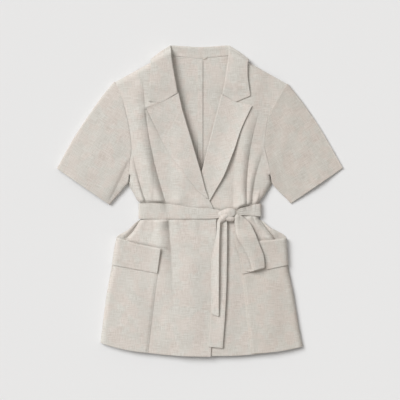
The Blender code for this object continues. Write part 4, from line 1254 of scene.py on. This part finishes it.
def collar():
    """One collar: the stand rises from the neck seam, rolls over, and its leaf falls outside."""
    rows = rows_at(COLLAR, np.linspace(0, 1, 200), by_row=True)
    seam, fold, middle, edge = (rows[:, k : k + 3] for k in (0, 3, 6, 9))
    side = np.radians(rows[:, 12:13])
    on_top = (1 + np.cos(side)) / 2
    for row_points in (seam, fold, middle, edge):
        x, y = row_points[:, 0:1], row_points[:, 1:2]
        dome = BODY_DOME * (1 - (x / DOME_HALF_WIDTH) ** 2)
        puff = (EXTRA_PUFF + dome) * edge_roll(shoulder_distance(x, y) + SIDE_ROLL / 2, SIDE_ROLL)
        row_points[:, 2:3] += on_top * (collar_lift(x, y) + puff)
    outward = middle - fold
    outward[:, 2] = 0.0
    outward = unit(outward)
    along = np.where(fold[:, 0:1] < 0, 1.0, -1.0)
    outside = np.hstack([outward[:, 1:2] * along, -outward[:, 0:1] * along, 0.0 * along])
    up = np.array([[0.0, 0.0, 1.0]])
    leaf_way = np.cos(side) * up + np.sin(side) * outside
    centre = fold + outward * COLLAR_ROLL
    columns = [seam, seam * 0.5 + (centre - leaf_way * COLLAR_ROLL) * 0.5]
    for turn in np.radians((-90.0, -35.0, 35.0, 90.0)):
        columns.append(centre + COLLAR_ROLL * (np.sin(turn) * leaf_way - np.cos(turn) * outward))
    rolled = resample(np.stack(columns, axis=1), 24)
    start = centre + leaf_way * COLLAR_ROLL
    middle[:, 2:3] += COLLAR_STAND_OFF * on_top / 3
    edge[:, 2:3] += COLLAR_STAND_OFF * on_top
    leaf = straight_through(np.stack([start, middle, edge], axis=1), 33)
    points = np.concatenate([rolled, leaf[:, 1:]], axis=1)
    grain = turned(points[..., 0], points[..., 1], 4.0)
    dress("collar_cloth", "collar", points, TWO_PLY, grain)


def sleeves():
    """Each sleeve is a tube pressed flat, from the curved armhole to the straight hem."""
    count = 150
    around = 2 * np.pi * np.arange(count) / count
    share = (1 - np.cos(around)) / 2
    lift = np.tanh(SLEEVE_EDGE_STEEPNESS * np.sin(around)) / np.tanh(SLEEVE_EDGE_STEEPNESS)
    for name, table, armhole, slant, tilt in (
        ("right_sleeve", RIGHT_SLEEVE, RIGHT_ARMHOLE, -31.0, 1.0),
        ("left_sleeve", LEFT_SLEEVE, LEFT_ARMHOLE, 31.0, 6.2),
    ):
        chord_start, chord_end = np.array(armhole[0]), np.array(armhole[-1])
        chord = chord_start + share[:, None] * (chord_end - chord_start)
        curve = rows_at(armhole, share) - chord
        rows = rows_through(table, 90)
        keep = rows[:, 4:5]
        x = rows[:, 0:1] * (1 - share) + rows[:, 2:3] * share + keep * curve[:, 0]
        y = rows[:, 1:2] * (1 - share) + rows[:, 3:4] * share + keep * curve[:, 1]
        upper = np.clip(lift, 0.0, 1.0)
        creased = rolled_folds(x, y, SLEEVE_FOLDS) + 2.0 * ripple(x, y)
        dome = SLEEVE_DOME * np.sin(np.pi * share) ** (0.9 - 0.5 * keep) * (1 - 0.3 * keep)
        top = dome + np.maximum(creased, -1.0) + tilt * (keep - 1)
        z = FLOOR_LEVEL + SLEEVE_HALF_DEPTH * (1 + lift) + upper * top
        grain = turned(x, y, slant)
        dress(name + "_cloth", name, points_of(x, y, z), CLOTH, grain, ring=True)


def pocket_level(x, y, pocket):
    """Middle of a patch pocket's wall, clear of the front beneath and rolled down at its side."""
    edge = edge_roll(outline_x(pocket, y) - np.abs(x), POCKET_EDGE_ROLL)
    return front_level(x, y, pocket) + POCKET_LIFT * edge


def sewn_edge(x, inner_x):
    """How far the pocket's inner edge is drawn down to the front it is sewn to."""
    return POCKET_SEAM_DROP * (1 - ease(np.abs(x - inner_x) / POCKET_SEAM_WIDTH))


def cuff_level(x, y, cuff):
    """Middle of a turned-down cuff's wall, fullest along its turned upper edge."""
    edge = edge_roll(outline_x(cuff, y) - np.abs(x), CUFF_EDGE_ROLL)
    below = np.hypot(x - x[:1], y - y[:1])
    turned_edge = edge_roll(below + 0.3, CUFF_TURN) * np.exp(-below / CUFF_TURN_SOFT)
    return pocket_level(x, y, cuff) + (CUFF_LIFT + CUFF_TURN_RISE * turned_edge) * edge


def pockets():
    """Patch pockets from cuff to hem, each with its deep turned-down cuff."""
    lines = []
    for side, pocket, cuff in (
        ("right", RIGHT_POCKET, RIGHT_CUFF),
        ("left", LEFT_POCKET, LEFT_CUFF),
    ):
        x, y = panel_to_hem(rows_through(pocket, 120), 75, 1.1, POCKET_HEM_BOW)
        z = pocket_level(x, y, pocket) - sewn_edge(x, x[:, -1:])
        dress(side + "_pocket_cloth", side + "_pocket", points_of(x, y, z), CLOTH)
        below = y[:, -1:] < cuff[-1][5] - SEWN_IN
        line_x = x[:, -1:] + SEWN_IN * np.sign(x[:, -1:])
        line_z = pocket_level(line_x, y[:, -1:], pocket) - sewn_edge(line_x, x[:, -1:])
        line = np.hstack([line_x, y[:, -1:], line_z + CLOTH / 2 + THREAD_RADIUS / 2])
        lines.append(line[below[:, 0]])
        x, y = across_three(rows_through(cuff, 40), 70)
        z = cuff_level(x, y, cuff)
        name = side + "_pocket_cuff"
        dress(name + "_cloth", name, points_of(x, y, z), TWO_PLY)
    stitches("pocket_stitching", lines)


def belt_band():
    """The belt's band: over the fronts, round both sides and under the back."""
    rows = rows_through(BELT, BELT_ROWS)
    x, top, bottom, down = (rows[:, k : k + 1] for k in range(4))
    share = np.linspace(0, 1, 16)[None, :]
    y = top * (1 - share) + bottom * share
    inner_x = np.clip(x, -BELT_LEVEL_HALF_WIDTH, BELT_LEVEL_HALF_WIDTH)
    on_top = carrier_level(inner_x, np.full_like(inner_x, BELT_MIDDLE_Y)) + BELT_REST
    crown = BELT_CROWN * (1 - (2 * share - 1) ** 4)
    near_knot = ease((x - BELT_PLEATS_X) / PLEATS_GROW_IN) * ease((PLEATS_END_X - x) / KNOT_FADE)
    waves = np.sin(np.pi * (share * PLEAT_WAVES + PLEAT_PHASE)) ** 2
    pleats = PLEAT_RISE * near_knot * waves
    from_knot, to_end = ease((x - RUN_START_X) / KNOT_FADE), RUN_END_X - x
    out_of_knot = RUN_RISE * ease(to_end / RUN_SINKS_IN) * from_knot
    folded = RUN_FOLD_RISE * ease(to_end / RUN_FOLD_FADES_IN) * from_knot
    folded = folded * np.sin(np.pi * (share * RUN_FOLD_WAVES + RUN_FOLD_PHASE)) ** 2
    risen = BELT_EDGE_LIFT * (1 - share) ** 2 * rolled_folds(x, top + BELT_EDGE_REACH, FRONT_FOLDS)
    on_top = on_top + (crown + pleats + out_of_knot + folded + risen) * (down == 0.0)
    z = on_top * (1 - down) + BELT_BACK_LEVEL * down
    length = np.linspace(0, BELT_LENGTH, BELT_ROWS)[:, None]
    grain = np.stack(np.broadcast_arrays(top - y, length), axis=-1)
    points = points_of(x, y, z)
    dress("belt_cloth", "belt", points, TWO_PLY, grain)
    shown = (down[:, 0] == 0.0) & ((x[:, 0] < BELT_PLEATS_X) | (x[:, 0] > 104.0))
    shown = np.where(np.abs(x[:, 0]) < 124.0, shown, False)
    sides = (x[:, 0] < 0, x[:, 0] > 0)
    lines = [line for side in sides for line in edge_lines(points, shown & side)]
    stitches("belt_stitching", lines)


def edge_lines(points, rows):
    """Lines on the upper face of a band, one column in from each of its long edges."""
    lift = np.array([0.0, 0.0, (TWO_PLY + THREAD_RADIUS) / 2])
    return [points[rows, column] + lift for column in (1, -2)]


def lobe(table, rings, around, pleats):
    """A pillow along a path: rings whose half height and depth follow the table.

    The rings close to a point at both ends. Shallow pleats run along it, as waves round the ring.
    """
    rows = rows_through(table, rings)
    centre, half_width, half_depth = rows[:, None, :3], rows[:, None, 3:4], rows[:, None, 4:5]
    way = np.gradient(rows[:, :2], axis=0)
    across = unit(np.stack([-way[:, 1], way[:, 0], np.zeros(len(rows))], axis=-1))[:, None, :]
    up = np.array([[[0.0, 0.0, 1.0]]])
    angle = (2 * np.pi * np.arange(around) / around)[None, :, None]
    along = np.linspace(0, 1, rings)[:, None, None]
    waves = np.sin(pleats * angle + LOBE_TWIST * along) * np.sin(np.pi * along)
    crease = 1 + LOBE_PLEAT_DEPTH * waves
    points = centre + (across * half_width * np.cos(angle) + up * half_depth * np.sin(angle)) * crease
    length = np.concatenate([[0.0], np.cumsum(np.linalg.norm(np.diff(rows[:, :3], axis=0), axis=1))])
    grain = np.stack(
        np.broadcast_arrays(angle[..., 0] * 8.0, length[:, None] + 0 * angle[..., 0]), axis=-1
    )
    index = np.arange(rings * around).reshape(rings, around)
    wide = np.hstack([index, index[:, :1]])
    faces = np.stack([wide[:-1, :-1], wide[:-1, 1:], wide[1:, 1:], wide[1:, :-1]], axis=-1)
    faces = outward_faces(points.reshape(-1, 3), faces.reshape(-1, 4))
    return points.reshape(-1, 3), faces, grain.reshape(-1, 2)


def knot():
    """Three soft lobes of the wound belt: the body, and the two ends of its turn below."""
    vertices, faces, grains, used = [], [], [], 0
    for table, pleats in ((KNOT_BODY, 5), (KNOT_LEFT_TURN, 4), (KNOT_RIGHT_TURN, 4)):
        points, quads_of_lobe, grain = lobe(table, 70, 60, pleats)
        vertices.append(points)
        faces.append(quads_of_lobe + used)
        grains.append(grain)
        used += len(points)
    vertices = np.concatenate(vertices)
    vertices[:, 2] += KNOT_FLOOR
    material = cloth_material("belt_knot_cloth", list(CUTS).index("belt_knot"))
    name = "belt_knot_cloth"
    piece = mesh_object(name, vertices, np.concatenate(faces), np.concatenate(grains), material)
    close_poles(piece.data)
    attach(piece, "root")
    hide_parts("belt_knot")


def neck_tack():
    """A short curved bar of thread at the top of the centre back seam."""
    vertices, faces, grain = lobe(NECK_TACK, 40, 12, 0)
    piece = mesh_object("neck_tack", vertices, faces, grain, thread_material())
    close_poles(piece.data)
    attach(piece, "root")


def close_poles(mesh):
    """Merge the points that lie on each other where rings close."""
    shape = bmesh.new()
    shape.from_mesh(mesh)
    bmesh.ops.remove_doubles(shape, verts=shape.verts, dist=1e-6)
    shape.to_mesh(mesh)
    shape.free()


def tail_level(x, y):
    """Height of what the tails lie on, held at its value beyond the front edge."""
    return carrier_level(np.minimum(x, TAIL_REACH_X), y) + BELT_REST


def tails_and_loop():
    """Two tails down the front edge, and the loop that hangs over the left pocket."""
    share = np.linspace(0, 1, 14)[None, :]
    x, y = across_two(rows_through(TAIL_UNDER, 150), 14)
    grain = np.stack([x, y], axis=-1)
    z = tail_level(x, y) + UNDER_RISE * share**2 * ease((y - UNDER_FLAT_Y) / UNDER_RISES_IN)
    points = points_of(x, y, z)
    dress("belt_tail_under_cloth", "belt_tail_under", points, TWO_PLY, grain)
    lines = edge_lines(points, y[:, 0] < UNDER_SEWN_Y)[1:]
    x, y = across_two(rows_through(TAIL_UPPER, 120), 14)
    risen = UPPER_RISE * share**1.3 * ease((y - UPPER_FLAT_Y) / UPPER_RISES_IN)
    z = tail_level(x, y) + TAIL_STEP + TAILS_GAP + risen
    points = points_of(x, y, z)
    dress("belt_tail_upper_cloth", "belt_tail_upper", points, TWO_PLY)
    stitches("tail_stitching", lines + edge_lines(points, y[:, 0] < UPPER_SEWN_Y))
    rows = rows_through(LOOP, 90)
    down = np.linspace(0, 1, 90)[:, None]
    under = rows.copy()
    under[:, 0:1] += LOOP_UNDER_LEFT * ease((down - 0.25) / 0.5)
    under[:, 2:3] += LOOP_UNDER_RIGHT * ease((down - 0.1) / 0.5)
    turn = np.radians(np.linspace(-70.0, 70.0, 9))[:, None]
    gape = LOOP_HALF_GAPE * (0.6 + 0.9 * np.sin(np.pi * down) ** 2 + 0.9 * ease((down - 0.6) / 0.4))
    end = under[-1:] * (1 - np.sin(turn)) / 2 + rows[-1:] * (1 + np.sin(turn)) / 2
    end = end + np.array([LOOP_END_TURN]) * np.cos(turn) * LOOP_END_BULGE
    x, y = across_two(np.vstack([under, end, rows[::-1]]), 20)
    step = np.concatenate([-gape, gape[-1:] * np.sin(turn), gape[::-1]])
    over_cuff = ease((CUFF_START_Y - y) / CUFF_RISE_Y) * ease((x - CUFF_START_X) / CUFF_RISE_X)
    carrier = left_front_level(x, y) + (POCKET_LIFT + CUFF_LIFT) * over_cuff
    across = np.linspace(0, 1, 20)[None, :]
    opened = np.minimum(1.0, 0.2 + step / gape.max())
    crown = LOOP_CROWN * np.sin(np.pi * across**0.6) * (step > 0) * opened
    z = carrier + BELT_REST + gape.max() + step + crown
    dress("belt_loop_cloth", "belt_loop", points_of(x, y, z), TWO_PLY)


# Stage


def stage():
    """A pale floor, a large soft key light from the upper left, a weak fill, and the camera."""
    settings = bpy.context.scene.jacket_stage
    mesh = bpy.data.meshes.new("floor")
    reach, low = 14.0, -0.0003
    corners = [(-reach, -reach, low), (reach, -reach, low), (reach, reach, low), (-reach, reach, low)]
    mesh.from_pydata(corners, [], [(0, 1, 2, 3)])
    floor = bpy.data.objects.new("floor", mesh)
    bpy.context.scene.collection.objects.link(floor)
    nodes = Nodes("floor_paper")
    nodes.plug(nodes.shader.inputs["Base Color"], (*settings.floor_colour, 1.0))
    nodes.plug(nodes.shader.inputs["Roughness"], 0.95)
    nodes.plug(nodes.shader.inputs["Specular IOR Level"], 0.0)
    mesh.materials.append(nodes.material)
    for name, place, energy, angle in (
        ("key", (-1.12, 0.8, 1.3), settings.key_strength, 34.0),
        ("fill", (0.4, 0.5, 2.0), settings.fill_strength, 60.0),
    ):
        light = bpy.data.lights.new(name, "SUN")
        light.energy = energy
        light.angle = np.radians(angle)
        light.color = (1.0, 1.0, 1.0)
        lamp = bpy.data.objects.new(name, light)
        aim(lamp, place, (0.0, 0.0, 0.0))
        bpy.context.scene.collection.objects.link(lamp)
    world = bpy.data.worlds.new("studio")
    world.use_nodes = True
    background = world.node_tree.nodes["Background"]
    background.inputs["Color"].default_value = (1.0, 0.955, 0.895, 1.0)
    background.inputs["Strength"].default_value = settings.sky_strength
    bpy.context.scene.world = world
    bpy.context.scene.view_settings.view_transform = "Standard"
    camera = bpy.data.objects.new("camera", bpy.data.cameras.new("camera"))
    camera.location = (*FRAME_MIDDLE, CAMERA_HEIGHT)
    camera.data.lens = 36.0 * (CAMERA_HEIGHT - FRAME_LEVEL) / FRAME_WIDTH
    camera.data.clip_end = 20.0
    bpy.context.scene.collection.objects.link(camera)
    bpy.context.scene.camera = camera


def aim(lamp, place, target):
    """Put a lamp at a place with its -Z towards the target."""
    lamp.location = place
    way = Vector(target) - Vector(place)
    lamp.rotation_euler = way.to_track_quat("-Z", "Y").to_euler()


class JacketCloth(bpy.types.PropertyGroup):
    """Sizes and colours of the cloth."""

    light_yarn: FloatVectorProperty(
        name="Light yarn", description="Warm light yarn", subtype="COLOR",
        default=(0.748, 0.698, 0.655)
    )
    dark_yarn: FloatVectorProperty(
        name="Dark yarn", description="Warm dark yarn", subtype="COLOR",
        default=(0.606, 0.548, 0.498)
    )
    light_yarn_cool: FloatVectorProperty(
        name="Light cool yarn", description="Cool light yarn", subtype="COLOR",
        default=(0.722, 0.708, 0.670)
    )
    dark_yarn_cool: FloatVectorProperty(
        name="Dark cool yarn", description="Cool dark yarn", subtype="COLOR",
        default=(0.580, 0.556, 0.508)
    )
    patch_colour: FloatVectorProperty(
        name="Patches", description="Hue of the soft patches", subtype="COLOR",
        default=(0.675, 0.638, 0.592)
    )
    # Painted shade: the dark brown that some pieces are mixed towards, so that they look shaded
    painted_shade_colour: FloatVectorProperty(
        name="Painted shade",
        description="Dark brown that the pieces with painted shade are mixed towards",
        subtype="COLOR",
        default=(0.220, 0.136, 0.047),
    )
    thread_colour: FloatVectorProperty(
        name="Thread", description="Colour of the sewing thread", subtype="COLOR",
        default=(0.60, 0.55, 0.49)
    )
    fold_depth: FloatProperty(
        name="Fold depth", description="Factor on the depth of all folds",
        default=1.0, min=0.0, max=1.05
    )
    stitch_pitch: FloatProperty(
        name="Stitch pitch", description="Distance from stitch to stitch in mm",
        default=3.4, min=2.0, max=8.0
    )
    stitch_length: FloatProperty(
        name="Stitch length", description="Length of a stitch in mm", default=2.5, min=1.0, max=7.0
    )
    yarn_contrast: FloatProperty(
        name="Yarn contrast", description="How far the yarns differ", default=1.0, min=0.0, max=3.0
    )
    yarn_pitch: FloatProperty(
        name="Yarn pitch", description="Distance between yarns in mm",
        default=0.62, min=0.2, max=3.0
    )


class JacketStage(bpy.types.PropertyGroup):
    """Camera, light and floor."""

    floor_colour: FloatVectorProperty(
        name="Floor", description="Colour of the floor", subtype="COLOR",
        default=(0.822, 0.829, 0.84)
    )
    key_strength: FloatProperty(
        name="Key", description="Strength of the soft light from the upper left", default=2.55
    )
    fill_strength: FloatProperty(
        name="Fill", description="Strength of the broad light from above", default=0.3
    )
    sky_strength: FloatProperty(
        name="Sky", description="Strength of the even light all round", default=0.33
    )


class JACKET_OT_backs(bpy.types.Operator):
    """Make both back panels and the centre seam's allowance"""

    bl_idname = "jacket.backs"
    bl_label = "Backs"

    def execute(self, context):
        backs()
        return {"FINISHED"}


class JACKET_OT_fronts(bpy.types.Operator):
    """Make both fronts with their folds"""

    bl_idname = "jacket.fronts"
    bl_label = "Fronts"

    def execute(self, context):
        fronts()
        return {"FINISHED"}


class JACKET_OT_lapels(bpy.types.Operator):
    """Make both lapels"""

    bl_idname = "jacket.lapels"
    bl_label = "Lapels"

    def execute(self, context):
        lapels()
        return {"FINISHED"}


class JACKET_OT_collar(bpy.types.Operator):
    """Make the collar"""

    bl_idname = "jacket.collar"
    bl_label = "Collar"

    def execute(self, context):
        collar()
        neck_tack()
        return {"FINISHED"}


class JACKET_OT_sleeves(bpy.types.Operator):
    """Make both sleeves"""

    bl_idname = "jacket.sleeves"
    bl_label = "Sleeves"

    def execute(self, context):
        sleeves()
        return {"FINISHED"}


class JACKET_OT_pockets(bpy.types.Operator):
    """Make both pockets and their cuffs"""

    bl_idname = "jacket.pockets"
    bl_label = "Pockets"

    def execute(self, context):
        pockets()
        return {"FINISHED"}


class JACKET_OT_belt(bpy.types.Operator):
    """Make the belt's band, knot, loop and tails"""

    bl_idname = "jacket.belt"
    bl_label = "Belt"

    def execute(self, context):
        belt_band()
        knot()
        tails_and_loop()
        return {"FINISHED"}


class JACKET_OT_stage(bpy.types.Operator):
    """Make the floor, the lights and the camera"""

    bl_idname = "jacket.stage"
    bl_label = "Stage"

    def execute(self, context):
        stage()
        return {"FINISHED"}


OPERATORS = (
    JACKET_OT_backs,
    JACKET_OT_fronts,
    JACKET_OT_lapels,
    JACKET_OT_collar,
    JACKET_OT_sleeves,
    JACKET_OT_pockets,
    JACKET_OT_belt,
    JACKET_OT_stage,
)


class JACKET_PT_sidebar(bpy.types.Panel):
    """Lists the steps that dress the jacket"""

    bl_idname = "JACKET_PT_sidebar"
    bl_label = "Jacket"
    bl_space_type = "VIEW_3D"
    bl_region_type = "UI"
    bl_category = "Jacket"

    def draw(self, context):
        for settings in (context.scene.jacket_cloth, context.scene.jacket_stage):
            box = self.layout.box()
            for key in type(settings).__annotations__:
                box.prop(settings, key)
        for operator in OPERATORS:
            self.layout.operator(operator.bl_idname)


CLASSES = (JacketCloth, JacketStage, *OPERATORS, JACKET_PT_sidebar)


def register():
    """Add the classes and the two groups of settings."""
    for kind in CLASSES:
        bpy.utils.register_class(kind)
    bpy.types.Scene.jacket_cloth = PointerProperty(type=JacketCloth)
    bpy.types.Scene.jacket_stage = PointerProperty(type=JacketStage)


def unregister():
    """Remove the groups of settings and the classes."""
    del bpy.types.Scene.jacket_stage
    del bpy.types.Scene.jacket_cloth
    for kind in reversed(CLASSES):
        bpy.utils.unregister_class(kind)


def main():
    """Build every piece and the stage."""
    register()
    for operator in OPERATORS:
        group, name = operator.bl_idname.split(".")
        getattr(getattr(bpy.ops, group), name)()


if __name__ == "__main__":
    main()
